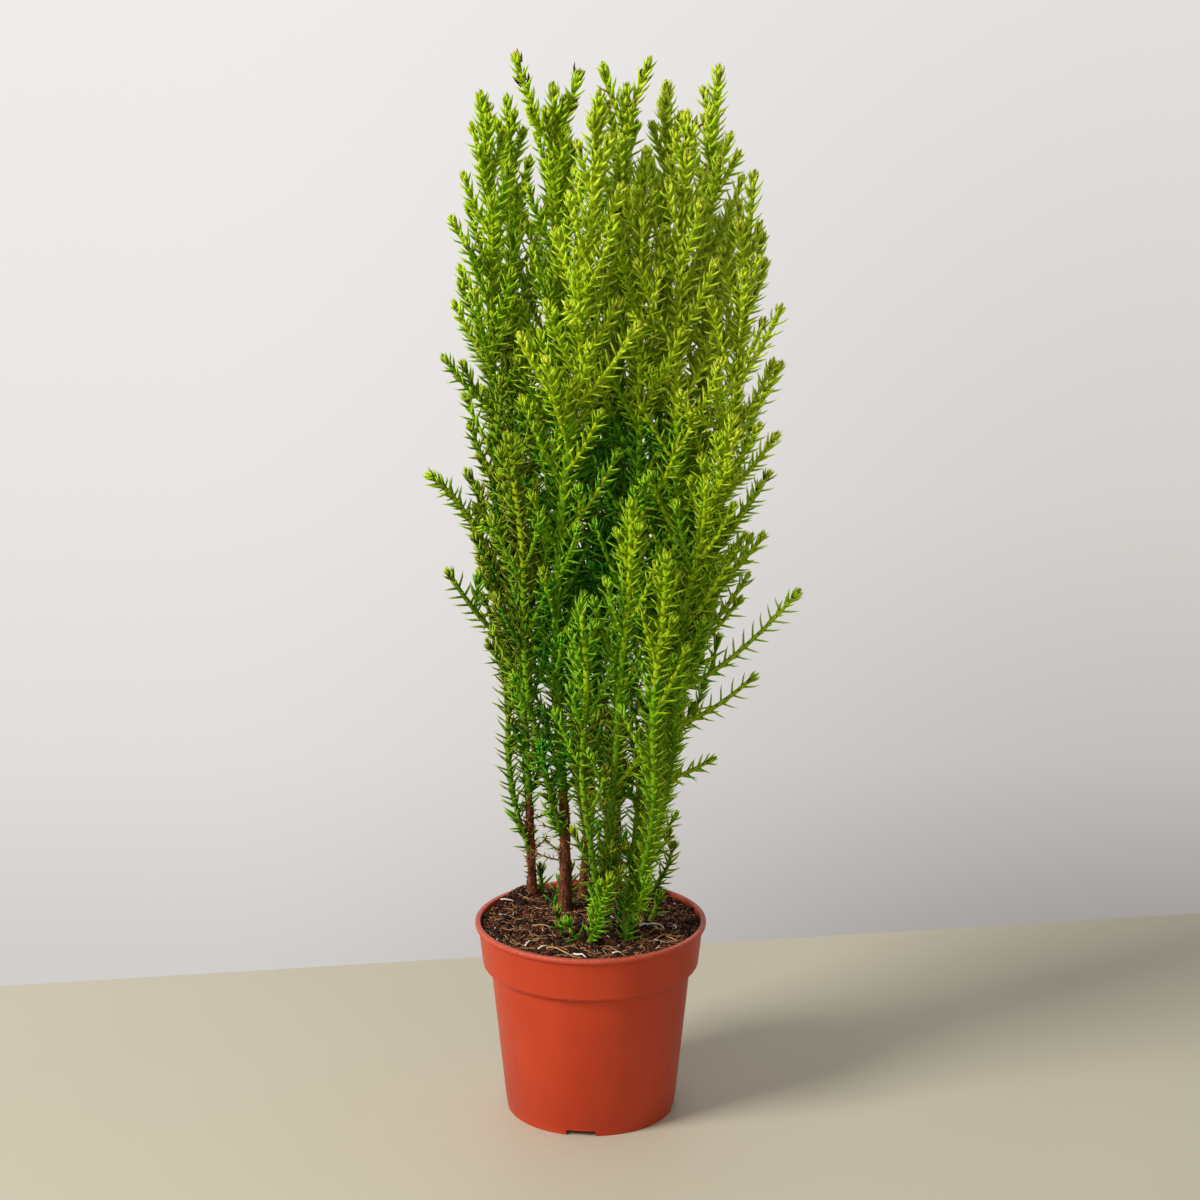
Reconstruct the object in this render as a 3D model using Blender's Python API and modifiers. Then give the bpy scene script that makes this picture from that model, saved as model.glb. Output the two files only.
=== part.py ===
# Potted lemon cypress: a clump of slim leafy stems in a round nursery pot of terracotta plastic.
# Metres, +Z up. The origin is on the boss in the middle of the pot's underside, which stands on the table.

import math
import random
from collections import namedtuple

import bmesh
import bpy
from mathutils import Matrix, Vector, kdtree

GAP = 0.0003  # between pieces that touch
WELD = 0.000001  # corners closer than this are one

# Pot
POT_HEIGHT = 0.0925
POT_STEPS = 32
RIM_RADIUS = 0.0540
LIP_HEIGHT = 0.0022
LIP_EDGE = 0.0004
BAND_TOP_RADIUS = 0.0525
BAND_LOW_RADIUS = 0.0504
BAND_LOW_Z = 0.0716
SHOULDER_Z = 0.0690
WALL = 0.0010
WALL_TOP_RADIUS = 0.0466
FOOT_RADIUS = 0.0394
RING_WIDTH = 0.0012
PLATE_Z = 0.0030
PLATE = 0.0014
BOSS_RADIUS = 0.0090
NOTCH_COUNT = 4
NOTCH_WIDTH = 0.0137
NOTCH_TURN = math.radians(-96.6)
DRAIN_RADIUS = 0.0040
DRAIN_SIDES = 12
DRAIN_AT = 0.0240

# Soil
SOIL_TOP = 0.0890
SOIL_FLAT_RADIUS = 0.0475
SOIL_DROP = 0.0016
SOIL_ROUGHNESS = 0.0012

# Stems and boughs
FOOT_Z = SOIL_TOP + GAP
FLARE = 0.45
FLARE_HEIGHT = 0.005
STEM_TAPER = 0.16
STEM_STEP = 0.008
STEM_COLLAR = 0.0015
BOUGH_SHARE = 0.72
BOUGH_TAPER = 0.25
BOUGH_STEPS = 4
EARLY_START = 0.10
EARLY_END = 0.54
SHOULDER_HEIGHT = 0.030
WANDER = 0.0022
WANDER_TURNS = 2.6
WANDER_FULL = 0.12
AXIS_STEP = 0.004

# Foliage
TWIG_STEP = 0.0070
TWIG_EVERY = 3
TWIG_TURN = math.radians(137.5)
TWIG_LONG = 0.037
TWIG_JITTER = (0.72, 1.08)
TWIG_SHORTEST = 0.010
TWIG_SHRINK = 0.85
TWIG_ANGLE = math.radians(46)
TWIG_CURL = 0.42
TWIG_TAPER_SHARE = 0.27
TWIG_TAPER_MORE = 0.005
TWIG_LOW_SHARE = 0.42
TWIG_LOW_LENGTH = 0.110
TWIG_CORE_SHARE = 0.60
TWIG_CORE_TAPER = 0.35
LONG_TWIG_SAG = 0.07
LONG_TWIG_CORE = 0.0008
LEADER_CORE = 0.0015
LEADER_CORE_TIP = 0.0007
WHORL = 0.0174
TWIG_WHORL = 0.0131
CORE_SIDES = 3
CORE_TWIST = math.radians(38)
LEAF_LENGTH = 0.0122
LEAF_LOW_SHARE = 0.65
LEAF_LOW_Z = 0.110
LEAF_FULL_Z = 0.230
TWIG_LEAF_SHARE = 0.85
LEAF_SPREAD = 0.25
LEAF_ANGLE = math.radians(54)
LEAF_ANGLE_TIP = math.radians(26)
TIP_LENGTH = 0.0045
CORE_ROOM = 0.0022
LEAF_ROOM = 0.0014
TWIG_ROOM = 0.0030
LIMB_ROOM = 0.0012
SEED = 41

# The crown's outline: at each height, how far it reaches to the left, to the right, and forward and back.
CROWN_MIDDLE_Y = 0.008
CROWN = [
    (0.100, -0.026, 0.031, 0.038),
    (0.140, -0.037, 0.034, 0.048),
    (0.190, -0.046, 0.048, 0.058),
    (0.240, -0.051, 0.071, 0.064),
    (0.300, -0.057, 0.080, 0.066),
    (0.360, -0.060, 0.084, 0.064),
    (0.420, -0.060, 0.077, 0.058),
    (0.460, -0.056, 0.063, 0.050),
    (0.500, -0.040, 0.046, 0.040),
]
CROWN_EDGE = 0.004

# A stem rises from the soil at foot and its leader ends at tip. It is bare for the height bare. Sway is how early
# it crosses over: 0 leans evenly, 1 crosses between the shares EARLY_START and EARLY_END of its height. Bow is how
# far it bends aside half way up, and wave how far it swings right, left and right again on its way.
Stem = namedtuple("Stem", "name foot tip bare radius sway bow wave")
STEMS = [
    Stem("left", (-0.028, 0.034), (-0.048, 0.004, 0.475), 0.050, 0.0020, 0.0, (-0.001, -0.012), 0.0026),
    Stem("centre", (-0.0125, 0.016), (0.004, -0.027, 0.477), 0.056, 0.0022, 0.3, (-0.0096, -0.007), 0.0032),
    Stem("back_centre", (-0.004, 0.034), (0.016, 0.007, 0.478), 0.066, 0.0020, 0.0, (0.003, 0.004), 0.0),
    Stem("front", (0.003, -0.017), (0.018, -0.044, 0.303), 0.028, 0.0018, 0.5, (0.0, 0.0), 0.0),
    Stem("front_right", (0.017, -0.020), (0.042, -0.012, 0.468), 0.026, 0.0019, 0.2, (0.004, 0.0), 0.0),
    Stem("right", (0.024, 0.010), (0.072, -0.001, 0.441), 0.046, 0.0020, 0.7, (-0.006, -0.009), 0.0),
    Stem("back_right", (0.025, 0.030), (0.034, 0.021, 0.478), 0.040, 0.0019, 0.0, (0.003, 0.004), 0.0),
    Stem("back", (0.013, 0.039), (0.012, 0.048, 0.446), 0.050, 0.0019, 0.0, (0.0, 0.004), 0.0),
    Stem("front_sprig", (-0.001, -0.027), (0.009, -0.037, 0.128), 0.006, 0.0011, 0.0, (0.001, 0.0), 0.0),
    Stem("right_sprig", (0.028, 0.039), (0.040, 0.034, 0.119), 0.007, 0.0010, 0.0, (0.002, 0.0), 0.0),
]

# A side leader leaves its stem at the height fork above the soil and ends at tip. The share shoulder of its way
# across is made close to the fork, the rest along its height to the power bend. Its bough is bare for reach.
Side = namedtuple("Side", "name stem fork tip shoulder bend reach")
SIDES = [
    Side("left_low", "left", 0.026, (-0.073, -0.004, 0.306), 0.25, 6.0, 0.026),
    Side("left_back", "left", 0.040, (-0.037, 0.031, 0.471), 0.40, 1.0, 0.022),
    Side("crown_left", "back_centre", 0.034, (-0.016, -0.003, 0.479), 0.45, 1.0, 0.022),
    Side("front_left", "centre", 0.040, (-0.036, -0.030, 0.330), 0.45, 1.2, 0.024),
    Side("back_left", "back_centre", 0.048, (-0.014, 0.044, 0.455), 0.80, 1.0, 0.020),
    Side("front_low", "front", 0.011, (-0.004, -0.047, 0.259), 0.45, 1.0, 0.018),
    Side("centre_right", "front", 0.013, (0.024, -0.011, 0.448), 0.45, 1.0, 0.017),
    Side("front_mid", "front_right", 0.015, (0.033, -0.050, 0.281), 0.55, 1.0, 0.018),
    Side("right_front", "front_right", 0.020, (0.063, -0.032, 0.338), 0.35, 2.0, 0.022),
    Side("right_tall", "right", 0.028, (0.057, 0.020, 0.485), 0.35, 1.0, 0.020),
    Side("right_back", "back_right", 0.030, (0.063, 0.036, 0.424), 0.38, 2.0, 0.022),
    Side("back_low", "back_right", 0.020, (0.042, 0.056, 0.318), 0.60, 1.0, 0.020),
    Side("far_left", "back", 0.038, (-0.036, 0.056, 0.382), 0.60, 1.1, 0.022),
    Side("far_low", "back", 0.022, (0.000, 0.066, 0.288), 0.50, 1.0, 0.020),
]

# A long twig stands out of its leader's outline: the height where it starts, and its tip.
LongTwig = namedtuple("LongTwig", "leader height tip")
LONG_TWIGS = [
    LongTwig("left", 0.392, (-0.062, 0.000, 0.422)),
    LongTwig("left", 0.372, (-0.059, 0.010, 0.399)),
    LongTwig("left", 0.352, (-0.061, -0.002, 0.385)),
    LongTwig("left", 0.333, (-0.066, -0.006, 0.361)),
    LongTwig("left_low", 0.220, (-0.065, -0.010, 0.264)),
    LongTwig("centre", 0.332, (-0.031, -0.037, 0.376)),
    LongTwig("centre", 0.340, (0.022, -0.041, 0.381)),
    LongTwig("crown_left", 0.446, (-0.033, -0.007, 0.493)),
    LongTwig("crown_left", 0.454, (-0.004, 0.001, 0.4855)),
    LongTwig("back_centre", 0.458, (0.005, 0.007, 0.488)),
    LongTwig("back_centre", 0.462, (0.027, 0.010, 0.490)),
    LongTwig("right_tall", 0.426, (0.066, 0.000, 0.450)),
    LongTwig("right", 0.372, (0.077, 0.010, 0.414)),
    LongTwig("right", 0.346, (0.085, -0.010, 0.384)),
    LongTwig("right", 0.318, (0.086, 0.000, 0.357)),
    LongTwig("right", 0.297, (0.084, -0.012, 0.327)),
    LongTwig("right", 0.277, (0.082, 0.002, 0.307)),
    LongTwig("right", 0.251, (0.079, -0.010, 0.281)),
    LongTwig("right", 0.228, (0.073, 0.004, 0.259)),
    LongTwig("right", 0.203, (0.095, -0.012, 0.255)),
    LongTwig("right", 0.184, (0.077, 0.000, 0.212)),
    LongTwig("right", 0.158, (0.058, -0.003, 0.173)),
]


def clear_scene():
    for thing in list(bpy.data.objects):
        bpy.data.objects.remove(thing)


def new_collection(name):
    made = bpy.data.collections.new(name)
    bpy.context.scene.collection.children.link(made)
    return made


def new_material(name, colour, roughness):
    material = bpy.data.materials.new(name)
    material.use_nodes = True
    shader = material.node_tree.nodes["Principled BSDF"]
    shader.inputs["Base Color"].default_value = (*colour, 1.0)
    shader.inputs["Roughness"].default_value = roughness
    shader.inputs["Metallic"].default_value = 0.0
    return material


def new_object(name, data, collection, material=None):
    thing = bpy.data.objects.new(name, data)
    collection.objects.link(thing)
    if material and not data.materials:
        data.materials.append(material)
    return thing


def as_cutter(thing):
    thing.hide_render = True
    thing.display_type = "WIRE"
    return thing


def evaluated_mesh(thing):
    bpy.context.view_layer.update()
    graph = bpy.context.evaluated_depsgraph_get()
    return bpy.data.meshes.new_from_object(thing.evaluated_get(graph))


def welded_mesh(thing):
    """The mesh that the object's bevel or turn makes, with its caps sewn on."""
    mesh = evaluated_mesh(thing)
    bm = bmesh.new()
    bm.from_mesh(mesh)
    bmesh.ops.remove_doubles(bm, verts=bm.verts, dist=WELD)
    bm.to_mesh(mesh)
    bm.free()
    return mesh


def turned(name, profile, collection, material):
    """A profile in the XZ plane, from the axis on top, down the outside and back to the axis, turned about Z."""
    bm = bmesh.new()
    points = [bm.verts.new((radius, 0.0, height)) for radius, height in profile]
    for first, second in zip(points, points[1:]):
        bm.edges.new((first, second))
    mesh = bpy.data.meshes.new(name)
    bm.to_mesh(mesh)
    bm.free()
    thing = new_object(name, mesh, collection, material)
    screw = thing.modifiers.new("turn", "SCREW")
    screw.steps = screw.render_steps = POT_STEPS
    screw.use_merge_vertices = True
    screw.merge_threshold = 10 * WELD
    return thing


# Pot


def inner_radius(height):
    """The radius inside the pot's band, or inside the wall below its shoulder."""
    if height > BAND_LOW_Z:
        share = (height - BAND_LOW_Z) / (POT_HEIGHT - BAND_LOW_Z)
        return BAND_LOW_RADIUS + (BAND_TOP_RADIUS - BAND_LOW_RADIUS) * share - WALL
    return FOOT_RADIUS + (WALL_TOP_RADIUS - FOOT_RADIUS) * height / SHOULDER_Z - WALL


def pot_profile():
    lip_z = POT_HEIGHT - LIP_HEIGHT
    floor_z = PLATE_Z + PLATE
    return [
        (0.0, floor_z),
        (inner_radius(floor_z), floor_z),
        (inner_radius(SHOULDER_Z), SHOULDER_Z + WALL / 2),
        (inner_radius(BAND_LOW_Z + WALL), BAND_LOW_Z + WALL),
        (BAND_TOP_RADIUS - WALL, POT_HEIGHT),
        (RIM_RADIUS - LIP_EDGE, POT_HEIGHT),
        (RIM_RADIUS, POT_HEIGHT - LIP_EDGE),
        (RIM_RADIUS, lip_z),
        (BAND_TOP_RADIUS, lip_z),
        (BAND_LOW_RADIUS, BAND_LOW_Z + LIP_EDGE),
        (BAND_LOW_RADIUS - LIP_EDGE, BAND_LOW_Z),
        (WALL_TOP_RADIUS, SHOULDER_Z),
        (FOOT_RADIUS, 0.0),
        (FOOT_RADIUS - RING_WIDTH, 0.0),
        (FOOT_RADIUS - RING_WIDTH, PLATE_Z),
        (BOSS_RADIUS + LIP_EDGE, PLATE_Z),
        (BOSS_RADIUS, 0.0),
        (0.0, 0.0),
    ]


def notch_cutter(turn, cutters):
    """A block through the foot ring, as high as the plate's underside."""
    bpy.ops.mesh.primitive_cube_add(size=1.0)
    block = bpy.context.object
    block.name = "notch_cutter"
    block.data.transform(Matrix.Diagonal((RIM_RADIUS - FOOT_RADIUS, NOTCH_WIDTH, 2 * PLATE_Z, 1.0)))
    block.location = (FOOT_RADIUS * math.cos(turn), FOOT_RADIUS * math.sin(turn), -GAP)
    block.rotation_euler = (0.0, 0.0, turn)
    move_to(block, cutters)


def drain_cutter(turn, cutters):
    bpy.ops.mesh.primitive_cylinder_add(vertices=DRAIN_SIDES, radius=DRAIN_RADIUS, depth=4 * PLATE)
    drain = bpy.context.object
    drain.name = "drain_cutter"
    drain.location = (DRAIN_AT * math.cos(turn), DRAIN_AT * math.sin(turn), PLATE_Z + PLATE / 2)
    move_to(drain, cutters)


def move_to(thing, collection):
    for old in list(thing.users_collection):
        old.objects.unlink(thing)
    collection.objects.link(thing)
    as_cutter(thing)


def make_pot(plant, material):
    pot = turned("pot", pot_profile(), plant, material)
    cutters = new_collection("pot_cutters")
    for number in range(NOTCH_COUNT):
        turn = NOTCH_TURN + 2 * math.pi * number / NOTCH_COUNT
        notch_cutter(turn, cutters)
        drain_cutter(turn, cutters)
    cut = pot.modifiers.new("notches_and_drains", "BOOLEAN")
    cut.operation = "DIFFERENCE"
    cut.operand_type = "COLLECTION"
    cut.collection = cutters
    cut.solver = "EXACT"


def make_soil(plant, material):
    """The filling of the pot: flat where the stems stand, lower and rough along the wall."""
    edge_z = SOIL_TOP - SOIL_DROP
    band_z = BAND_LOW_Z + WALL + GAP
    floor_z = PLATE_Z + PLATE + GAP
    profile = [
        (0.0, SOIL_TOP),
        (SOIL_FLAT_RADIUS * 0.5, SOIL_TOP),
        (SOIL_FLAT_RADIUS, SOIL_TOP),
        (inner_radius(edge_z) - 4 * GAP, edge_z + SOIL_DROP / 2),
        (inner_radius(edge_z) - GAP, edge_z),
        (inner_radius(band_z) - GAP, band_z),
        (inner_radius(SHOULDER_Z) - GAP, SHOULDER_Z + WALL / 2 + GAP),
        (inner_radius(floor_z) - GAP, floor_z),
        (0.0, floor_z),
    ]
    form = turned("soil_form", profile, plant, material)
    mesh = welded_mesh(form)
    bpy.data.objects.remove(form)
    rng = random.Random(SEED)
    for vertex in mesh.vertices:
        if vertex.co.z > edge_z - GAP and vertex.co.xy.length > SOIL_FLAT_RADIUS + GAP:
            vertex.co.z -= SOIL_ROUGHNESS * rng.random()
    mesh.name = "soil"
    new_object("soil", mesh, plant, material)


# Axes of the stems and leaders


def smooth(share):
    share = min(1.0, max(0.0, share))
    return share * share * (3 - 2 * share)


def wander(phase, share, length):
    """A slight wave about the axis, still at both ends, and less on a short one."""
    turn = WANDER_TURNS * math.pi * share
    swing = WANDER * min(1.0, length / WANDER_FULL) * math.sin(math.pi * share)
    return Vector((math.sin(turn + phase[0]), math.cos(turn + phase[1]), 0.0)) * swing


def phases(name):
    rng = random.Random(f"{SEED} {name}")
    return rng.uniform(0, 2 * math.pi), rng.uniform(0, 2 * math.pi)


def stem_axis(stem):
    """The points of a stem and its leader, from the soil to the tip."""
    foot, tip = Vector((*stem.foot, FOOT_Z)), Vector(stem.tip)
    phase = phases(stem.name)
    count = round((tip.z - foot.z) / AXIS_STEP)
    points = []
    for number in range(count + 1):
        share = number / count
        early = smooth((share - EARLY_START) / (EARLY_END - EARLY_START))
        point = foot.lerp(tip, (1 - stem.sway) * share + stem.sway * early)
        point += Vector((*stem.bow, 0.0)) * math.sin(math.pi * share)
        point.x += stem.wave * math.sin(3 * math.pi * share)
        point.z = foot.z + (tip.z - foot.z) * share
        points.append(point + wander(phase, share, tip.z - foot.z))
    return points


def side_axis(side, stem_points):
    """The points of a side leader, from the middle of its stem to the tip."""
    root = point_at_height(stem_points, FOOT_Z + side.fork)
    tip = Vector(side.tip)
    phase = phases(side.name)
    count = round((tip - root).length / AXIS_STEP)
    points = []
    for number in range(count + 1):
        share = number / count
        height = share * (tip.z - root.z)
        near = 1 - math.exp(-height / SHOULDER_HEIGHT)
        across = side.shoulder * near + (1 - side.shoulder) * share**side.bend
        point = root.lerp(tip, across)
        point.z = root.z + height
        points.append(point + wander(phase, share, tip.z - root.z))
    return points


def point_at_height(points, height):
    for low, high in zip(points, points[1:]):
        if high.z >= height:
            return low.lerp(high, (height - low.z) / (high.z - low.z))
    return points[-1].copy()


def lengths_along(points):
    total, sums = 0.0, [0.0]
    for first, second in zip(points, points[1:]):
        total += (second - first).length
        sums.append(total)
    return sums


def point_along(points, sums, distance):
    """The point and the direction at a distance along the points."""
    for index in range(len(points) - 1):
        if sums[index + 1] >= distance or index == len(points) - 2:
            step = points[index + 1] - points[index]
            share = (distance - sums[index]) / step.length
            return points[index] + step * share, step.normalized()
    return points[-1], Vector((0, 0, 1))


def stretch(points, start, end, step):
    """Even stations from one distance along the points to another, as places and directions."""
    sums = lengths_along(points)
    count = max(1, round((end - start) / step))
    return [point_along(points, sums, start + (end - start) * n / count) for n in range(count + 1)]


# Stems and boughs


def limb(name, points, radii, collection, material):
    """A round tapering limb through the points, with flat ends."""
    curve = bpy.data.curves.new(name, "CURVE")
    curve.dimensions = "3D"
    curve.bevel_depth = radii[0]
    curve.bevel_resolution = 1
    curve.use_fill_caps = True
    spline = curve.splines.new("POLY")
    spline.points.add(len(points) - 1)
    for place, point, radius in zip(spline.points, points, radii):
        place.co = (*point, 1.0)
        place.radius = radius / radii[0]
    return new_object(name, curve, collection, material)


def stem_radius(stem, height):
    """A stem's radius at a height above the soil, with its root flare."""
    taper = 1 - STEM_TAPER * height / stem.bare
    return stem.radius * taper * (1 + FLARE * math.exp(-height / FLARE_HEIGHT))


def make_stem(stem, axis, more, name, collection, material):
    """The bare foot of a stem, or the same fattened by more as a cutter."""
    count = max(3, round(stem.bare / STEM_STEP))
    heights = [0.0, STEM_COLLAR, *(stem.bare * n / count for n in range(1, count + 1))]
    points = [point_at_height(axis, FOOT_Z + height) for height in heights]
    points[0] = Vector((points[1].x, points[1].y, FOOT_Z))
    radii = [stem_radius(stem, height) + more for height in heights]
    return limb(name, points, radii, collection, material)


def make_bough(side, stem, axis, stem_cutter, plant, material):
    """The bare foot of a side leader, cut to stand against its stem."""
    points = [place for place, _ in stretch(axis, 0.0, side.reach, side.reach / BOUGH_STEPS)]
    thick = BOUGH_SHARE * stem_radius(stem, side.fork)
    radii = [thick * (1 - BOUGH_TAPER * n / BOUGH_STEPS) for n in range(BOUGH_STEPS + 1)]
    form = limb("bough_form", points, radii, plant, material)
    mesh = welded_mesh(form)
    bpy.data.objects.remove(form)
    bough = new_object("bough_" + side.name, mesh, plant, material)
    cut = bough.modifiers.new("seat", "BOOLEAN")
    cut.operation = "DIFFERENCE"
    cut.object = stem_cutter
    cut.solver = "EXACT"


# Foliage


class Space:
    """Tells whether a place is nearer to a leader than to the other leaders and the bare limbs."""

    def __init__(self, name, lines, limbs):
        self.own = tree_of(lines[name])
        self.others = tree_of([point for other, points in lines.items() if other != name for point in points])
        self.limbs = [(tree_of(points), radius) for points, radius in limbs]

    def has_room(self, place, from_leaders, from_limbs):
        nearest = self.others.find(place)[2] - self.own.find(place)[2]
        return nearest > from_leaders and all(
            tree.find(place)[2] > radius + from_limbs for tree, radius in self.limbs
        )


def inside_crown(place):
    for low, high in zip(CROWN, CROWN[1:]):
        if place.z <= high[0] or high is CROWN[-1]:
            share = (place.z - low[0]) / (high[0] - low[0])
            left, right, depth = (a + (b - a) * share for a, b in zip(low[1:], high[1:]))
            across = (place.x - (left + right) / 2) / ((right - left) / 2 - CROWN_EDGE)
            along = (place.y - CROWN_MIDDLE_Y) / (depth - CROWN_EDGE)
            return across * across + along * along < 1


def tree_of(points):
    tree = kdtree.KDTree(len(points))
    for index, point in enumerate(points):
        tree.insert(point, index)
    tree.balance()
    return tree


def square_to(direction, turn):
    """A direction square to the given one, turned round it by an angle."""
    side = direction.cross(Vector((0.0, 1.0, 0.0))).normalized()
    return side * math.cos(turn) + direction.cross(side) * math.sin(turn)


def leafy_shoot(name, stations, radii, turn, leaf_length, keeps, collection):
    """A slim three-sided core through the stations, ending in a point, with a leaf drawn out of each side."""
    rng = random.Random(f"{SEED} {name} {turn:.3f}")
    bm = bmesh.new()
    rings = []
    for number, ((place, direction), radius) in enumerate(zip(stations, radii)):
        ring = []
        for side in range(CORE_SIDES):
            angle = turn + CORE_TWIST * number + 2 * math.pi * side / CORE_SIDES
            ring.append(bm.verts.new(place + square_to(direction, angle) * radius))
        rings.append(ring)
    bm.faces.new(reversed(rings[0]))
    apex = bm.verts.new(stations[-1][0] + stations[-1][1] * TIP_LENGTH)
    for side in range(CORE_SIDES):
        bm.faces.new((rings[-1][side], rings[-1][(side + 1) % CORE_SIDES], apex))
    last = len(rings) - 2
    for number, (low, high) in enumerate(zip(rings, rings[1:])):
        direction = stations[number + 1][1]
        for side in range(CORE_SIDES):
            after = (side + 1) % CORE_SIDES
            face = bm.faces.new((low[side], low[after], high[after], high[side]))
            middle = face.calc_center_median()
            length = leaf_length * size_at(middle.z) * (1 + LEAF_SPREAD * rng.uniform(-1, 1))
            tip = middle + leaf_heading(face, direction, number == last) * length
            if keeps(middle.lerp(tip, 0.5)) and keeps(tip):
                poked = bmesh.ops.poke(bm, faces=[face])
                poked["verts"][0].co = tip
    bmesh.ops.triangulate(bm, faces=bm.faces)
    mesh = bpy.data.meshes.new(name)
    bm.to_mesh(mesh)
    bm.free()
    return new_object(name, mesh, collection)


def size_at(height):
    """How much of their full length leaves have at a height: the lowest are the shortest."""
    return LEAF_LOW_SHARE + (1 - LEAF_LOW_SHARE) * smooth((height - LEAF_LOW_Z) / (LEAF_FULL_Z - LEAF_LOW_Z))


def leaf_heading(face, direction, at_tip):
    """Where the leaf on a side of the core points: outwards and up, and steeper at the shoot's tip."""
    face.normal_update()
    angle = LEAF_ANGLE_TIP if at_tip else LEAF_ANGLE
    out = (face.normal - direction * face.normal.dot(direction)).normalized()
    return direction * math.cos(angle) + out * math.sin(angle)


def twig_length(distance, total, jitter):
    """How long a twig is by its place along the leader: short near the tip, and shorter near the foot."""
    low = TWIG_LOW_SHARE + (1 - TWIG_LOW_SHARE) * min(1.0, distance / TWIG_LOW_LENGTH)
    near_tip = TWIG_TAPER_SHARE * (total - distance) + TWIG_TAPER_MORE
    return min(TWIG_LONG * jitter * low, near_tip)


def twig_heading(direction, turn):
    return direction * math.cos(TWIG_ANGLE) + square_to(direction, turn) * math.sin(TWIG_ANGLE)


def twig_points(root, heading, length, step):
    """A twig's stations: it sets out on its heading and curls upwards."""
    count = max(1, round(length / step))
    place, stations = root.copy(), [(root.copy(), heading)]
    for number in range(1, count + 1):
        lift = TWIG_CURL * number / count
        now = (heading * (1 - lift) + Vector((0, 0, 1)) * lift).normalized()
        place = place + now * (length / count)
        stations.append((place.copy(), now))
    return stations


def long_twig_points(long, axis, step):
    """A long twig's stations: it sags a little below the straight way to its tip."""
    root, tip = point_at_height(axis, long.height), Vector(long.tip)
    length = (tip - root).length
    middle = root.lerp(tip, 0.5) - Vector((0, 0, 2 * LONG_TWIG_SAG * length))
    count = round((length - TIP_LENGTH) / step)
    stations = []
    for number in range(count + 1):
        share = (1 - TIP_LENGTH / length) * number / count
        before, after = root.lerp(middle, share), middle.lerp(tip, share)
        stations.append((before.lerp(after, share), (after - before).normalized()))
    return stations


def grow_twigs(name, axis, start, space):
    """The stations and the radius of each twig of a leader that keeps to the leader's own space."""
    rng = random.Random(f"{SEED} {name} twigs")
    sums = lengths_along(axis)
    total = sums[-1] - start
    first_turn = rng.uniform(0, 2 * math.pi)
    twigs = []
    for long in LONG_TWIGS:
        if long.leader == name:
            stations = long_twig_points(long, axis, TWIG_WHORL)
            twigs.append((stations, LONG_TWIG_CORE))
    for number in range(int((total - TWIG_SHORTEST) / TWIG_STEP)):
        jitter = rng.uniform(*TWIG_JITTER)
        distance = TWIG_STEP * (number + 1)
        if (number + 1) % TWIG_EVERY:
            continue
        root, direction = point_along(axis, sums, start + distance)
        heading = twig_heading(direction, first_turn + TWIG_TURN * number)
        length = twig_length(distance, total, jitter)
        while length > TWIG_SHORTEST:
            stations = twig_points(root, heading, length, TWIG_WHORL)
            places = reached_by(stations)
            if inside_crown(places[-1]) and all(space.has_room(place, CORE_ROOM, CORE_ROOM) for place in places):
                twigs.append((stations, TWIG_CORE_SHARE * leader_core(distance / total)))
                break
            length *= TWIG_SHRINK
    return twigs


def closely_along(stations, count=6):
    """Places every few millimetres along a twig."""
    places = [place for place, _ in stations]
    return [low.lerp(high, n / count) for low, high in zip(places, places[1:]) for n in range(count + 1)]


def leader_core(share):
    return LEADER_CORE + (LEADER_CORE_TIP - LEADER_CORE) * share


def reached_by(stations):
    last, heading = stations[-1]
    return [*(place for place, _ in stations[1:]), last + heading * TIP_LENGTH]


def make_mass(name, axis, start, space, plant, material):
    """One leader's foliage: its leafy core and its twigs, joined into one solid."""
    total = lengths_along(axis)[-1]
    stations = stretch(axis, start + GAP, total - TIP_LENGTH, WHORL)
    radii = [leader_core(number / (len(stations) - 1)) for number in range(len(stations))]
    twigs = grow_twigs(name, axis, start, space)
    core_line = tree_of(axis)
    twig_lines = tree_of([place for twig, _ in twigs for place in closely_along(twig)] or [axis[0]])

    def keeps_leader_leaf(place):
        return twig_lines.find(place)[2] > TWIG_ROOM and space.has_room(place, LEAF_ROOM, LIMB_ROOM)

    def keeps_twig_leaf(place):
        return core_line.find(place)[2] > TWIG_ROOM and space.has_room(place, LEAF_ROOM, LIMB_ROOM)

    shoots = new_collection("shoots")
    core = leafy_shoot(name, stations, radii, 0.0, LEAF_LENGTH, keeps_leader_leaf, plant)
    for number, (twig, radius) in enumerate(twigs):
        thin = [radius * (1 - TWIG_CORE_TAPER * n / len(twig)) for n in range(len(twig))]
        leafy_shoot(name, twig, thin, number + 1, LEAF_LENGTH * TWIG_LEAF_SHARE, keeps_twig_leaf, shoots)
    if twigs:
        join = core.modifiers.new("join", "BOOLEAN")
        join.operation = "UNION"
        join.operand_type = "COLLECTION"
        join.collection = shoots
        join.solver = "MANIFOLD"
    mesh = evaluated_mesh(core)
    keep_largest_body(mesh)
    mesh.materials.clear()
    for thing in [core, *shoots.objects]:
        bpy.data.objects.remove(thing)
    bpy.data.collections.remove(shoots)
    new_object("foliage_" + name, mesh, plant, material)


def keep_largest_body(mesh):
    """Drops loose scraps and the walls of sealed hollows, which fills them."""
    bm = bmesh.new()
    bm.from_mesh(mesh)
    bodies, seen = [], set()
    for seed in bm.faces:
        if seed in seen:
            continue
        body, waiting = {seed}, [seed]
        while waiting:
            for edge in waiting.pop().edges:
                for face in edge.link_faces:
                    if face not in body:
                        body.add(face)
                        waiting.append(face)
        seen |= body
        bodies.append(body)
    largest = max(bodies, key=len)
    bmesh.ops.delete(bm, geom=[face for face in bm.faces if face not in largest], context="FACES")
    bm.to_mesh(mesh)
    bm.free()


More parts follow.
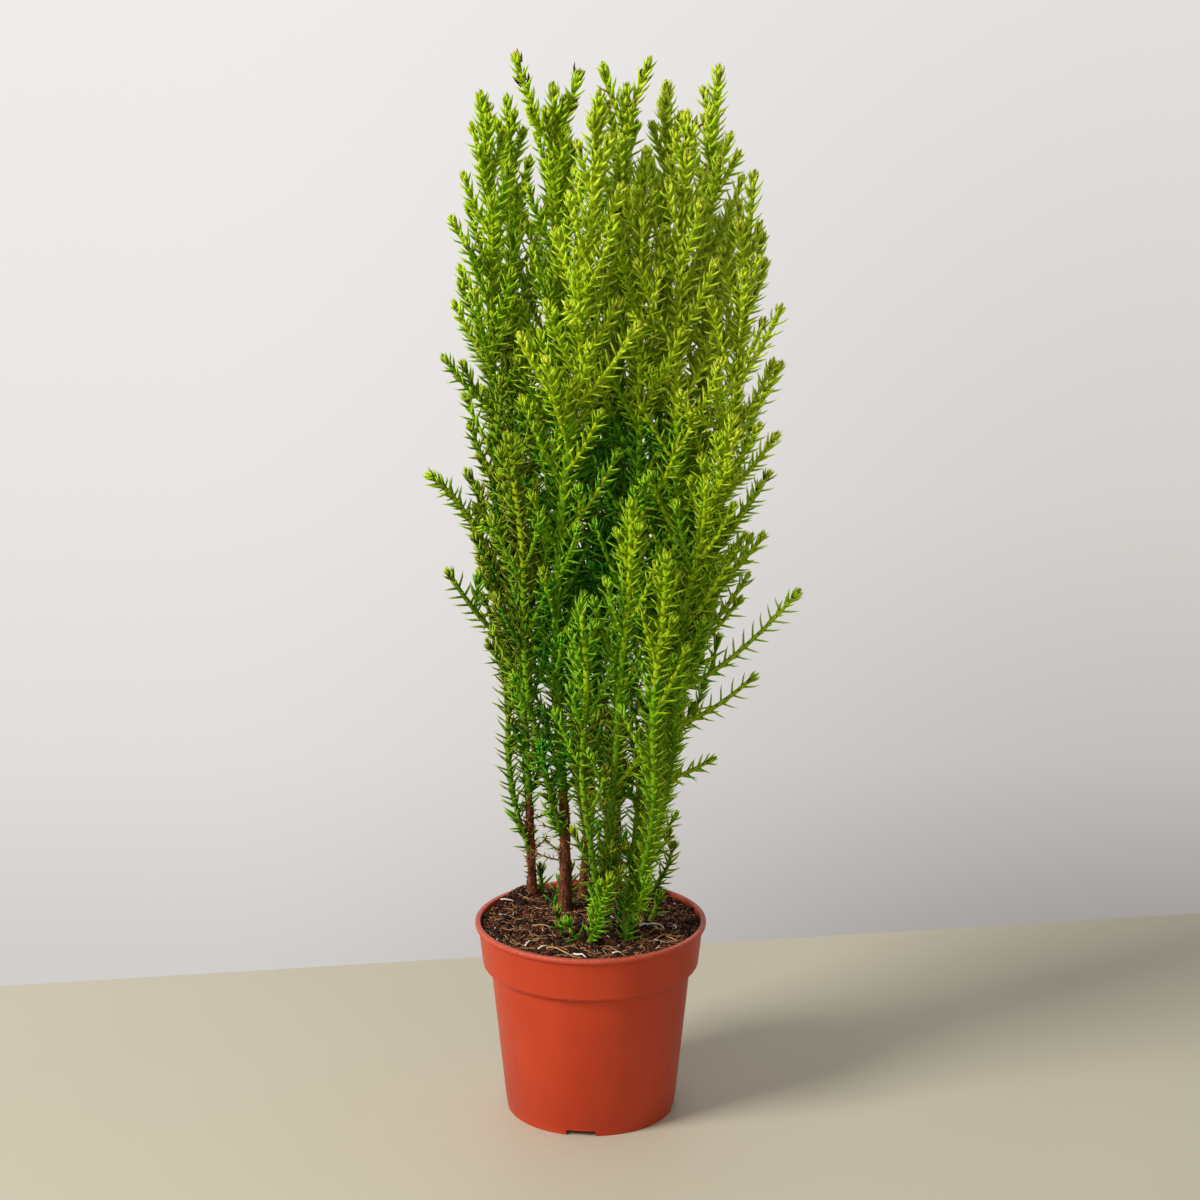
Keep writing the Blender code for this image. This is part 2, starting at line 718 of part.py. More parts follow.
def main():
    clear_scene()
    plant = new_collection("potted_lemon_cypress")
    cutters = new_collection("stem_cutters")
    plastic = new_material("terracotta_plastic", (0.56, 0.085, 0.032), 0.42)
    peat = new_material("peat", (0.075, 0.036, 0.020), 0.95)
    bark = new_material("bark", (0.105, 0.045, 0.022), 0.85)
    needles = new_material("needles", (0.165, 0.330, 0.018), 0.50)
    make_pot(plant, plastic)
    make_soil(plant, peat)

    axes, starts, limbs, cutter_of = {}, {}, [], {}
    for stem in STEMS:
        axis = axes[stem.name] = stem_axis(stem)
        make_stem(stem, axis, 0.0, "stem_" + stem.name, plant, bark)
        form = make_stem(stem, axis, GAP, "stem_form", cutters, None)
        mesh = welded_mesh(form)
        bpy.data.objects.remove(form)
        cutter_of[stem.name] = as_cutter(new_object("stem_cutter_" + stem.name, mesh, cutters))
        bare = [point for point in axis if point.z < FOOT_Z + stem.bare]
        starts[stem.name] = lengths_along([*bare, point_at_height(axis, FOOT_Z + stem.bare)])[-1]
        limbs.append((stem.name, bare, stem.radius))
    stems = {stem.name: stem for stem in STEMS}
    for side in SIDES:
        stem = stems[side.stem]
        axis = axes[side.name] = side_axis(side, axes[side.stem])
        make_bough(side, stem, axis, cutter_of[side.stem], plant, bark)
        starts[side.name] = side.reach
        bare = [point for point, along in zip(axis, lengths_along(axis)) if along < side.reach]
        limbs.append((side.name, bare, stem.radius * BOUGH_SHARE))

    lines = {name: list(axis) for name, axis in axes.items()}
    for long in LONG_TWIGS:
        lines[long.leader] += [place for place, _ in long_twig_points(long, axes[long.leader], AXIS_STEP)]
    for name, axis in axes.items():
        others = [(points, radius) for owner, points, radius in limbs if owner != name]
        make_mass(name, axis, starts[name], Space(name, lines, others), plant, needles)


main()
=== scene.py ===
import bisect
import math
import random
from collections import defaultdict, namedtuple

import bmesh
import bpy
import numpy as np
from mathutils import Matrix, Vector, kdtree, noise


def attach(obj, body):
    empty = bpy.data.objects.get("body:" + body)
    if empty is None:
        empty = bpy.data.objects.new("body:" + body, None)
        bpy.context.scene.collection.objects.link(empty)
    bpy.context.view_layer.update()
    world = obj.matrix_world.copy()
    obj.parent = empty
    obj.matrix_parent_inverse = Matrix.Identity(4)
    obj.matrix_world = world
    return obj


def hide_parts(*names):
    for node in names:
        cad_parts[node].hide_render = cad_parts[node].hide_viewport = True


# Potted lemon cypress: bark, green shoots, needles, potting mix and pot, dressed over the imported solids.
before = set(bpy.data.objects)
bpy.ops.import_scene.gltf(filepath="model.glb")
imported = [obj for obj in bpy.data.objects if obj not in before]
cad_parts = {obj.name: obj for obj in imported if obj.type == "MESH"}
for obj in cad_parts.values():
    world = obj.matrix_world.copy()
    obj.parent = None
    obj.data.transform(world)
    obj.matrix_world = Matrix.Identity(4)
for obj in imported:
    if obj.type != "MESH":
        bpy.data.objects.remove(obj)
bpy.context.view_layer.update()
scene = bpy.context.scene
scene.view_settings.view_transform = "Standard"
up = Vector((0.0, 0.0, 1.0))
seed = 41
print("frame loaded:", len(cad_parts), "nodes")


# Small helpers for colours, meshes and materials

def tint(red, green, blue):
    # a screen colour, 0 to 255, as linear light
    return tuple(((c / 255 + 0.055) / 1.055) ** 2.4 if c > 10 else c / 3294.6 for c in (red, green, blue))


def smooth(share):
    share = min(1.0, max(0.0, share))
    return share * share * (3 - 2 * share)


def newObject(name, mesh, material):
    thing = bpy.data.objects.new(name, mesh)
    scene.collection.objects.link(thing)
    mesh.materials.clear()
    mesh.materials.append(material)
    return thing


def shapeObject(name, bm, material, angle=None):
    # a finished bmesh as an object, shaded smooth up to an angle between faces
    mesh = bpy.data.meshes.new(name)
    bm.to_mesh(mesh)
    bm.free()
    thing = newObject(name, mesh, material)
    if angle is not None:
        mesh.shade_smooth()
        mesh.set_sharp_from_angle(angle=math.radians(angle))
    return thing


def bakedMesh(thing):
    # the object's mesh with its modifiers or its bevel made real
    bpy.context.view_layer.update()
    graph = bpy.context.evaluated_depsgraph_get()
    return bpy.data.meshes.new_from_object(thing.evaluated_get(graph))


def dress(piece, nodes):
    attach(piece, "root")
    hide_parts(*nodes)
    return piece


def newMaterial(name, roughness, specular=0.5):
    material = bpy.data.materials.new(name)
    material.use_nodes = True
    shader = material.node_tree.nodes["Principled BSDF"]
    shader.inputs["Roughness"].default_value = roughness
    shader.inputs["Specular IOR Level"].default_value = specular
    return material, shader


def addNode(material, kind, **values):
    node = material.node_tree.nodes.new(kind)
    for name, value in values.items():
        setattr(node, name, value)
    return node


def link(material, source, target):
    material.node_tree.links.new(source, target)


def noiseOn(material, size, stretch=(1, 1, 1), detail=3.0, rough=0.55):
    # a noise of grains about size metres across, stretched along each axis
    place = addNode(material, "ShaderNodeTexCoord")
    mapping = addNode(material, "ShaderNodeMapping")
    mapping.inputs["Scale"].default_value = [1 / (size * s) for s in stretch]
    grain = addNode(material, "ShaderNodeTexNoise")
    grain.inputs["Scale"].default_value = 1.0
    grain.inputs["Detail"].default_value = detail
    grain.inputs["Roughness"].default_value = rough
    link(material, place.outputs["Object"], mapping.inputs["Vector"])
    link(material, mapping.outputs["Vector"], grain.inputs["Vector"])
    return grain.outputs["Fac"]


def rampOn(material, source, stops):
    ramp = addNode(material, "ShaderNodeValToRGB")
    bar = ramp.color_ramp
    while len(bar.elements) < len(stops):
        bar.elements.new(0.5)
    for element, (position, colour) in zip(bar.elements, stops):
        element.position = position
        element.color = (*colour, 1.0)
    link(material, source, ramp.inputs["Fac"])
    return ramp.outputs["Color"]


def bumpOn(material, source, depth, before=None):
    bump = addNode(material, "ShaderNodeBump")
    bump.inputs["Strength"].default_value = 1.0
    bump.inputs["Distance"].default_value = depth
    link(material, source, bump.inputs["Height"])
    if before:
        link(material, before, bump.inputs["Normal"])
    return bump.outputs["Normal"]


def placeOn(material):
    # the outputs X, Y and Z of the place on the object
    place = addNode(material, "ShaderNodeTexCoord")
    split = addNode(material, "ShaderNodeSeparateXYZ")
    link(material, place.outputs["Object"], split.inputs["Vector"])
    return split.outputs


def ranged(material, source, start, end, low=0.0, high=1.0, kind="LINEAR"):
    node = addNode(material, "ShaderNodeMapRange", interpolation_type=kind)
    for name, value in (("From Min", start), ("From Max", end), ("To Min", low), ("To Max", high)):
        node.inputs[name].default_value = value
    link(material, source, node.inputs["Value"])
    return node.outputs["Result"]


def blended(material, share, first, second):
    # from the first colour to the second, which may be a plain one
    node = addNode(material, "ShaderNodeMix", data_type="RGBA")
    link(material, share, node.inputs["Factor"])
    link(material, first, node.inputs["A"])
    if isinstance(second, tuple):
        node.inputs["B"].default_value = (*second, 1.0)
    else:
        link(material, second, node.inputs["B"])
    return node.outputs["Result"]


mottle = dict(darkAt=0.32, lightAt=0.68, fine=0.25, glowRadius=(0.7, 1.0, 0.15), glowDepth=0.0030)


def mottled(name, dark, light, size, roughness, bumpDepth, stretch=(1, 1, 1), specular=0.4, glow=0.0):
    # two tones in soft grains and a fine relief of the same grain; glow is how much light passes through
    material, shader = newMaterial(name, roughness, specular)
    stops = [(mottle["darkAt"], tint(*dark)), (mottle["lightAt"], tint(*light))]
    link(material, rampOn(material, noiseOn(material, size, stretch), stops), shader.inputs["Base Color"])
    fine = noiseOn(material, size * mottle["fine"], stretch)
    link(material, bumpOn(material, fine, bumpDepth), shader.inputs["Normal"])
    shader.inputs["Subsurface Weight"].default_value = glow
    shader.inputs["Subsurface Radius"].default_value = mottle["glowRadius"]
    shader.inputs["Subsurface Scale"].default_value = mottle["glowDepth"]
    return material


def arrayMesh(name, coords, faces):
    mesh = bpy.data.meshes.new(name)
    mesh.vertices.add(len(coords))
    mesh.vertices.foreach_set("co", coords.astype(np.float32).ravel())
    mesh.loops.add(faces.size)
    mesh.loops.foreach_set("vertex_index", faces.astype(np.int32).ravel())
    mesh.polygons.add(len(faces))
    mesh.polygons.foreach_set("loop_start", np.arange(0, faces.size, 3, dtype=np.int32))
    mesh.update(calc_edges=True)
    mesh.validate()
    return mesh


def formOf(bm):
    # a small modelled form as arrays, ready to be dealt out many times
    bmesh.ops.triangulate(bm, faces=bm.faces)
    bmesh.ops.recalc_face_normals(bm, faces=bm.faces)
    bm.verts.index_update()
    coords = np.array([vert.co[:] for vert in bm.verts])
    faces = np.array([[vert.index for vert in face.verts] for face in bm.faces])
    bm.free()
    return coords, faces


def dealt(form, places, frames):
    # one copy of the form at each place, its axes turned and scaled by the frame's columns
    coords, faces = form
    made = places[:, None, :] + np.einsum("nij,kj->nki", frames, coords)
    shift = len(coords) * np.arange(len(places))[:, None, None]
    return made.reshape(-1, 3), (faces[None] + shift).reshape(-1, 3)


def joinedArrays(parts):
    coords, faces, base = [], [], 0
    for some, own in parts:
        coords.append(some)
        faces.append(own + base)
        base += len(some)
    return np.concatenate(coords), np.concatenate(faces)


# Camera, lights and stage

view = dict(place=(0.0044, -1.3, 0.580), tilt=75.6, lens=88.5, sensor=36.0, near=0.01, far=30.0)
camera = bpy.data.objects.new("camera", bpy.data.cameras.new("camera"))
scene.collection.objects.link(camera)
camera.location = view["place"]
camera.rotation_euler = (math.radians(view["tilt"]), 0.0, 0.0)
camera.data.sensor_width = view["sensor"]
camera.data.lens = view["lens"]
camera.data.clip_start, camera.data.clip_end = view["near"], view["far"]
scene.camera = camera

lamps = [
    dict(name="key", place=(-1.80, -1.10, 1.65), aim=(0.0, 0.0, 0.20), size=0.90, power=76,
         colour=(1.0, 0.975, 0.94)),
    dict(name="fill", place=(-0.4, -2.0, 0.9), aim=(0.0, 0.0, 0.25), size=1.2, power=8,
         colour=(1.0, 0.98, 0.95)),
]
for lamp in lamps:
    data = bpy.data.lights.new(lamp["name"], "AREA")
    data.size, data.energy, data.color = lamp["size"], lamp["power"], lamp["colour"]
    light = bpy.data.objects.new(lamp["name"], data)
    scene.collection.objects.link(light)
    light.location = lamp["place"]
    aim = Vector(lamp["aim"]) - light.location
    light.rotation_euler = aim.to_track_quat("-Z", "Y").to_euler()

roomLight = dict(colour=(232, 231, 231), strength=0.43)
room = bpy.data.worlds.new("room")
room.use_nodes = True
daylight = room.node_tree.nodes["Background"]
daylight.inputs["Color"].default_value = (*tint(*roomLight["colour"]), 1.0)
daylight.inputs["Strength"].default_value = roomLight["strength"]
scene.world = room

table = dict(turn=9.51, edgeMiddle=(0.0151, 0.2020), size=(5.0, 3.2), thick=0.016, edge=0.002)
bm = bmesh.new()
bmesh.ops.create_cube(bm, size=1.0)
bmesh.ops.scale(bm, vec=(*table["size"], table["thick"]), verts=bm.verts)
bmesh.ops.translate(bm, vec=(0.0, -table["size"][1] / 2, -table["thick"] / 2), verts=bm.verts)
bmesh.ops.bevel(bm, geom=bm.edges[:], affect="EDGES", offset=table["edge"], segments=3, profile=0.5,
                material=-1)
turn = Matrix.Rotation(math.radians(table["turn"]), 4, "Z")
bmesh.ops.transform(bm, matrix=Matrix.Translation((*table["edgeMiddle"], 0.0)) @ turn, verts=bm.verts)
tableTop = mottled("tableTop", (188, 182, 161), (192, 186, 165), 0.35, 0.62, 0.00001, specular=0.3)
shapeObject("table", bm, tableTop, 40)

# The wall glows by itself with painted light that falls off across it, in tones from below upwards at its
# left and at its right
wall = dict(y=2.4, size=(9.0, 5.0), middleZ=0.2, heights=(-0.86, 0.39), across=(-0.55, 0.75),
            rows=(0.0, 0.22, 0.5, 1.0),
            left=[(210, 206, 203), (225, 221, 218), (233, 229, 228), (239, 237, 235)],
            right=[(155, 150, 147), (194, 190, 187), (212, 209, 205), (226, 223, 220)])
bm = bmesh.new()
bmesh.ops.create_grid(bm, x_segments=2, y_segments=2, size=0.5)
bmesh.ops.scale(bm, vec=(*wall["size"], 1.0), verts=bm.verts)
bmesh.ops.rotate(bm, matrix=Matrix.Rotation(math.radians(90), 3, "X"), verts=bm.verts)
bmesh.ops.translate(bm, vec=(0.0, wall["y"], wall["middleZ"]), verts=bm.verts)
wallPaint, shader = newMaterial("wallPaint", 1.0, 0.0)
shader.inputs["Base Color"].default_value = (0.0, 0.0, 0.0, 1.0)
place = placeOn(wallPaint)
height = ranged(wallPaint, place["Z"], *wall["heights"])
left, right = (rampOn(wallPaint, height, [(row, tint(*tone)) for row, tone in zip(wall["rows"], wall[end])])
               for end in ("left", "right"))
# painted light: the glow is darker low down and darker towards the right
across = ranged(wallPaint, place["X"], *wall["across"], kind="SMOOTHSTEP")
link(wallPaint, blended(wallPaint, across, left, right), shader.inputs["Emission Color"])
shader.inputs["Emission Strength"].default_value = 1.0
shapeObject("wall", bm, wallPaint)
print("stage set")


# Pot: a thin moulded shell with a lip, a rim band, a foot ring with notches, and drain holes

pot = dict(height=0.0925, rim=0.0540, lip=0.0022, bandTop=0.0525, bandLow=0.0504, bandLowZ=0.0716,
           shoulderZ=0.0690, wall=0.0010, wallTop=0.0466, foot=0.0394, ring=0.0012, plateZ=0.0030,
           plate=0.0014, boss=0.0090, bossStep=0.0004, notches=4, notchWidth=0.0137, notchTurn=-96.6,
           notchRound=0.0007, notchDrop=0.0003, drain=0.0040, drainAt=0.0240, footLine=0.0046,
           footStep=0.00022, footRise=0.0003, round=0.00045, steps=160, sharp=42)


def innerRadius(height):
    if height > pot["bandLowZ"]:
        share = (height - pot["bandLowZ"]) / (pot["height"] - pot["bandLowZ"])
        return pot["bandLow"] + (pot["bandTop"] - pot["bandLow"]) * share - pot["wall"]
    return pot["foot"] + (pot["wallTop"] - pot["foot"]) * height / pot["shoulderZ"] - pot["wall"]


def wallRadius(height):
    return innerRadius(height) + pot["wall"]


def potProfile():
    # radius, height, and how round the corner there is
    floorZ, lipZ, soft = pot["plateZ"] + pot["plate"], pot["height"] - pot["lip"], pot["round"]
    line = pot["footLine"]
    return [
        (0.0, floorZ, 0), (innerRadius(floorZ), floorZ, soft),
        (innerRadius(pot["shoulderZ"]), pot["shoulderZ"] + pot["wall"] / 2, 0),
        (innerRadius(pot["bandLowZ"] + pot["wall"]), pot["bandLowZ"] + pot["wall"], 0),
        (pot["bandTop"] - pot["wall"], pot["height"], soft), (pot["rim"], pot["height"], soft * 1.4),
        (pot["rim"], lipZ, soft), (pot["bandTop"], lipZ, soft * 0.4),
        (pot["bandLow"], pot["bandLowZ"], soft * 2),
        (pot["wallTop"], pot["shoulderZ"], soft * 0.8),
        (wallRadius(line) + pot["footStep"], line + pot["footRise"], 0),
        (wallRadius(line), line, 0), (pot["foot"], 0.0, soft), (pot["foot"] - pot["ring"], 0.0, soft),
        (pot["foot"] - pot["ring"], pot["plateZ"], 0), (pot["boss"] + pot["bossStep"], pot["plateZ"], 0),
        (pot["boss"], 0.0, 0), (0.0, 0.0, 0),
    ]


def spun(line, steps):
    # a line of radii and heights turned about the upright axis
    bm = bmesh.new()
    points = [bm.verts.new((radius, 0.0, height)) for radius, height in line]
    edges = [bm.edges.new(pair) for pair in zip(points, points[1:])]
    bmesh.ops.spin(bm, geom=points + edges, cent=(0, 0, 0), axis=(0, 0, 1), angle=2 * math.pi, steps=steps,
                   use_merge=True, use_duplicate=False)
    bmesh.ops.remove_doubles(bm, verts=bm.verts, dist=1e-6)
    bmesh.ops.recalc_face_normals(bm, faces=bm.faces)
    return bm


def potShellForm():
    # the marked corners are rounded after the spin
    profile = potProfile()
    bm = spun([(radius, height) for radius, height, soft in profile], pot["steps"])
    for radius, height, soft in profile:
        if soft:
            ring = [edge for edge in bm.edges if all(
                abs(vert.co.z - height) < 1e-6 and abs(vert.co.xy.length - radius) < 1e-6
                for vert in edge.verts)]
            bmesh.ops.bevel(bm, geom=ring, affect="EDGES", offset=soft, segments=3, profile=0.5, material=-1,
                            clamp_overlap=True)
    return bm


def notchForm():
    bm = bmesh.new()
    bmesh.ops.create_cube(bm, size=1.0)
    size = (pot["rim"] - pot["foot"], pot["notchWidth"], 2 * pot["plateZ"])
    bmesh.ops.scale(bm, vec=size, verts=bm.verts)
    uprights = [edge for edge in bm.edges if abs(edge.verts[0].co.y - edge.verts[1].co.y) < 1e-6
                and abs(edge.verts[0].co.z - edge.verts[1].co.z) < 1e-6 and edge.verts[0].co.z > 0]
    bmesh.ops.bevel(bm, geom=uprights, affect="EDGES", offset=pot["notchRound"], segments=3, profile=0.5,
                    material=-1)
    return bm


def drainForm():
    bm = bmesh.new()
    bmesh.ops.create_cone(bm, cap_ends=True, segments=32, radius1=pot["drain"], radius2=pot["drain"],
                          depth=4 * pot["plate"])
    return bm


def makeCutter(bm, turn, place, plastic):
    bmesh.ops.transform(bm, matrix=turn @ Matrix.Translation(place), verts=bm.verts)
    cutter = shapeObject("cutter", bm, plastic)
    cutter.hide_render = True
    return cutter


def makePot():
    plastic = potPlastic()
    shell = shapeObject("pot", potShellForm(), plastic)
    cutters = []
    for number in range(pot["notches"]):
        turn = Matrix.Rotation(math.radians(pot["notchTurn"] + 360 * number / pot["notches"]), 4, "Z")
        drainPlace = (pot["drainAt"], 0, pot["plateZ"] + pot["plate"] / 2)
        cutters.append(makeCutter(notchForm(), turn, (pot["foot"], 0, -pot["notchDrop"]), plastic))
        cutters.append(makeCutter(drainForm(), turn, drainPlace, plastic))
    for cutter in cutters:
        cut = shell.modifiers.new("cut", "BOOLEAN")
        cut.operation, cut.solver, cut.object = "DIFFERENCE", "EXACT", cutter
    mesh = bakedMesh(shell)
    for thing in [shell, *cutters]:
        bpy.data.objects.remove(thing)
    potShell = newObject("potShell", mesh, plastic)
    mesh.shade_smooth()
    mesh.set_sharp_from_angle(angle=math.radians(pot["sharp"]))
    dress(potShell, ["pot"])


# lip and lipZ: the paler tones and the heights of a painted highlight on the rounded lip
plasticTones = dict(body=[(0.30, (176, 54, 23)), (0.70, (189, 62, 29))], lipZ=(0.0908, 0.0917),
                    lip=[(0.35, (166, 66, 45)), (0.65, (190, 88, 66))], dustZ=(0.016, 0.0), dustShare=0.35,
                    dust=(150, 92, 70), roughness=(0.34, 0.52))


def potPlastic():
    # dyed plastic: a slow drift of tone, faint mould streaks, a paler lip that is a painted highlight on its
    # rounded edge, and soil dust near the foot
    material, shader = newMaterial("pottedPlastic", 0.42, 0.25)
    body, lip = ([(at, tint(*tone)) for at, tone in plasticTones[part]] for part in ("body", "lip"))
    height = placeOn(material)["Z"]
    drift = rampOn(material, noiseOn(material, 0.030, (1, 1, 1.6), 2.0), body)
    speck = rampOn(material, noiseOn(material, 0.0012, (1, 1, 1), 2.0), lip)
    # painted highlight: the colour turns to the paler lip tones near the top
    lipHighlighted = blended(material, ranged(material, height, *plasticTones["lipZ"]), drift, speck)
    grime = noiseOn(material, 0.0040, (1, 1, 1), 5.0, 0.7)
    dusty = addNode(material, "ShaderNodeMath", operation="MULTIPLY")
    link(material, rampOn(material, grime, [(0.60, (0, 0, 0)), (0.78, (1, 1, 1))]), dusty.inputs[0])
    nearFoot = ranged(material, height, *plasticTones["dustZ"], high=plasticTones["dustShare"])
    link(material, nearFoot, dusty.inputs[1])
    final = blended(material, dusty.outputs["Value"], lipHighlighted, tint(*plasticTones["dust"]))
    link(material, final, shader.inputs["Base Color"])
    scuffs = ranged(material, noiseOn(material, 0.0030, (1, 1, 5), 4.0), 0.0, 1.0, *plasticTones["roughness"])
    link(material, scuffs, shader.inputs["Roughness"])
    grain = bumpOn(material, noiseOn(material, 0.0005, (1, 1, 1), 2.0), 0.000012)
    streaks = noiseOn(material, 0.012, (1, 1, 6), 1.0)
    link(material, bumpOn(material, streaks, 0.00008, grain), shader.inputs["Normal"])
    return material


makePot()
print("pot made")


# Potting mix: a rough mound of peat with crumbs, chips, fibres and a few pale slivers on it

soil = dict(top=0.0902, mound=0.0016, moundWidth=0.024, corner=(-0.033, 0.036), cornerRise=0.0046,
            cornerWidth=0.010, rimRise=0.0008, rimStart=0.042, rimWidth=0.010,
            waves=[(0.0009, 0.3, 120), (0.0006, 0.7, 420)], bodyZ=0.087, bodyGap=0.0004, wallGap=0.0006,
            bandGap=0.002, rings=44, steps=180, bitsZ=0.088, bitsInset=0.0012, fibreInset=0.004,
            fibreEdge=0.0015, clods=420, crumbs=3300, chips=2000, splinters=1100, fibres=210, slivers=9,
            specks=170, slopeStep=0.0015)
# How much larger a few bits are, how deep they sit, how far they may ride up, how long and how flat they are
bits = dict(larger=0.6, sunk=0.0002, rise=0.12, riseMost=0.0003, drawn=(0.7, 1.5), splinterFlat=0.6)


def soilHeight(x, y):
    # a low mound, a heap in one corner, a rise at the rim and two sizes of waves
    radius = math.hypot(x, y)
    height = soil["top"] + soil["mound"] * math.exp(-(radius / soil["moundWidth"]) ** 2)
    corner = math.hypot(x - soil["corner"][0], y - soil["corner"][1])
    height += soil["cornerRise"] * math.exp(-(corner / soil["cornerWidth"]) ** 2)
    height += soil["rimRise"] * smooth((radius - soil["rimStart"]) / soil["rimWidth"])
    return height + sum(depth * noise.noise(Vector((x, y, shift)) * grain)
                        for depth, shift, grain in soil["waves"])


def soilNormal(x, y):
    step = soil["slopeStep"]
    slope = Vector((soilHeight(x - step, y) - soilHeight(x + step, y),
                    soilHeight(x, y - step) - soilHeight(x, y + step), 2 * step))
    return slope.normalized()


def makeSoilBody():
    rim, low = innerRadius(soil["bodyZ"]) - soil["bodyGap"], pot["plateZ"] + pot["plate"] + soil["bodyGap"]
    line = [(rim * number / soil["rings"], soil["top"]) for number in range(soil["rings"] + 1)]
    line += [(innerRadius(height) - soil["wallGap"], height)
             for height in (pot["bandLowZ"] + soil["bandGap"], pot["shoulderZ"], low)]
    bm = spun([*line, (0.0, low)], soil["steps"])
    for vert in bm.verts:
        if vert.co.z > soil["bodyZ"]:
            vert.co.z = soilHeight(vert.co.x, vert.co.y) - soil["wallGap"]
    earth = mottled("darkPeat", (20, 12, 8), (52, 32, 22), 0.0016, 0.95, 0.0004, specular=0.15)
    return dress(shapeObject("soilBody", bm, earth, 60), ["soil"])


def lumpForm(rough, squash, where):
    bm = bmesh.new()
    bmesh.ops.create_icosphere(bm, subdivisions=1, radius=0.5)
    for vert in bm.verts:
        vert.co *= 1 + rough * noise.noise(vert.co * 3 + Vector((where, 0, 0)))
        vert.co.z *= squash
    return formOf(bm)


def splinterForm():
    bm = bmesh.new()
    bmesh.ops.create_cone(bm, cap_ends=True, segments=4, radius1=0.5, radius2=0.34, depth=1.0)
    uprights = [edge for edge in bm.edges if abs(edge.verts[0].co.z - edge.verts[1].co.z) > 0.5]
    bmesh.ops.subdivide_edges(bm, edges=uprights, cuts=1)
    for vert in bm.verts:
        if abs(vert.co.z) < 0.1:
            vert.co.x += 0.35
    return formOf(bm)


def layOnSoil(count, size, flat, rng, long=1.0):
    # places on the mix and frames for forms that lie about flat, with their own z or x along the ground
    places, frames = [], []
    reach = innerRadius(soil["bitsZ"]) - soil["bitsInset"]
    for number in range(count):
        radius, angle = reach * math.sqrt(rng.random()), rng.uniform(0, 2 * math.pi)
        x, y = radius * math.cos(angle), radius * math.sin(angle)
        scale = rng.uniform(*size) * (1 + bits["larger"] * rng.random() ** 4)
        tip = Vector((rng.uniform(-1, 1), rng.uniform(-1, 1), 0)) * flat
        normal = (soilNormal(x, y) + tip).normalized()
        along = normal.orthogonal().normalized()
        along.rotate(Matrix.Rotation(rng.uniform(0, 2 * math.pi), 3, normal))
        aside = normal.cross(along)
        stretch = rng.uniform(*bits["drawn"]) * long
        rise = min(scale * bits["rise"], bits["riseMost"]) * rng.random()
        places.append((x, y, soilHeight(x, y) - bits["sunk"] + rise))
        if long > 1:
            flatter = normal * scale * bits["splinterFlat"]
            frames.append(np.array([aside * scale, flatter, along * scale * stretch]).T)
        else:
            frames.append(np.array([along * scale * stretch, aside * scale, normal * scale]).T)
    return np.array(places), np.array(frames)


def makeSoilBits():
    rng = random.Random(f"{seed} soil bits")
    lumps = [lumpForm(0.5, 0.8, 1.7), lumpForm(0.7, 0.55, 5.2), lumpForm(0.4, 0.35, 9.1)]
    splinter = splinterForm()
    # a lot is a form, its count, its sizes, how flat it lies and how long it is drawn
    kinds = [
        ("soilClods", "clodPeat", (16, 8, 5), (46, 26, 17),
         [(form, soil["clods"] // 3, (0.0019, 0.0036), 0.9, 1.0) for form in lumps]),
        ("soilCrumbs", "crumbPeat", (26, 13, 8), (104, 58, 37),
         [(form, soil["crumbs"] // 3, (0.0007, 0.0017), 0.9, 1.0) for form in lumps]),
        ("soilChips", "chipBrown", (98, 58, 39), (164, 110, 77),
         [(lumps[2], soil["chips"] // 2, (0.0006, 0.0014), 0.6, 1.0),
          (splinter, soil["chips"] // 2, (0.0003, 0.0007), 0.5, 3.4)]),
        ("soilSplinters", "splinterTan", (140, 96, 62), (196, 152, 108),
         [(splinter, soil["splinters"], (0.0002, 0.00042), 0.45, 5.5)]),
        ("soilSpecks", "speckPale", (205, 196, 180), (236, 230, 216),
         [(lumps[0], soil["specks"], (0.0004, 0.0008), 0.8, 1.0)]),
    ]
    for name, finish, dark, light, lots in kinds:
        parts = []
        for form, count, size, flat, long in lots:
            places, frames = layOnSoil(count, size, flat, rng, long)
            parts.append(dealt(form, places, frames))
        material = mottled(finish, dark, light, 0.0022, 0.9, 0.00008, specular=0.2)
        dress(newObject(name, arrayMesh(name, *joinedArrays(parts)), material), ["soil"])


def curveMesh(name, runs, sides, material):
    # tapering round runs of points, as one mesh with sewn ends
    curve = bpy.data.curves.new(name, "CURVE")
    curve.dimensions = "3D"
    curve.bevel_depth = 1.0
    curve.bevel_resolution = sides // 2 - 2
    curve.use_fill_caps = True
    for points, radii in runs:
        spline = curve.splines.new("POLY")
        spline.points.add(len(points) - 1)
        for spot, point, radius in zip(spline.points, points, radii):
            spot.co = (*point, 1.0)
            spot.radius = radius
    form = bpy.data.objects.new(name + "Form", curve)
    scene.collection.objects.link(form)
    mesh = bakedMesh(form)
    bpy.data.objects.remove(form)
    bm = bmesh.new()
    bm.from_mesh(mesh)
    bmesh.ops.remove_doubles(bm, verts=bm.verts, dist=2e-6)
    bmesh.ops.triangulate(bm, faces=bm.faces)
    bm.to_mesh(mesh)
    bm.free()
    mesh.shade_smooth()
    return newObject(name, mesh, material)


fibre = dict(points=9, above=0.0005, bendSpread=(0.4, 1.6), taper=0.55, hop=0.0008)


def fibreRun(x, y, turn, length, bend, radius, rng, lift=0.0):
    count = fibre["points"]
    points, heading = [], turn
    for number in range(count):
        share = number / (count - 1)
        hop = lift * math.sin(math.pi * share)
        points.append(Vector((x, y, soilHeight(x, y) + fibre["above"] + radius + hop)))
        heading += bend / count * rng.uniform(*fibre["bendSpread"])
        x += math.cos(heading) * length / count
        y += math.sin(heading) * length / count
        if math.hypot(x, y) > innerRadius(soil["bitsZ"]) - soil["fibreEdge"]:
            break
    radii = [radius * (1 - fibre["taper"] * (number / count) ** 2) for number in range(len(points))]
    return points, radii


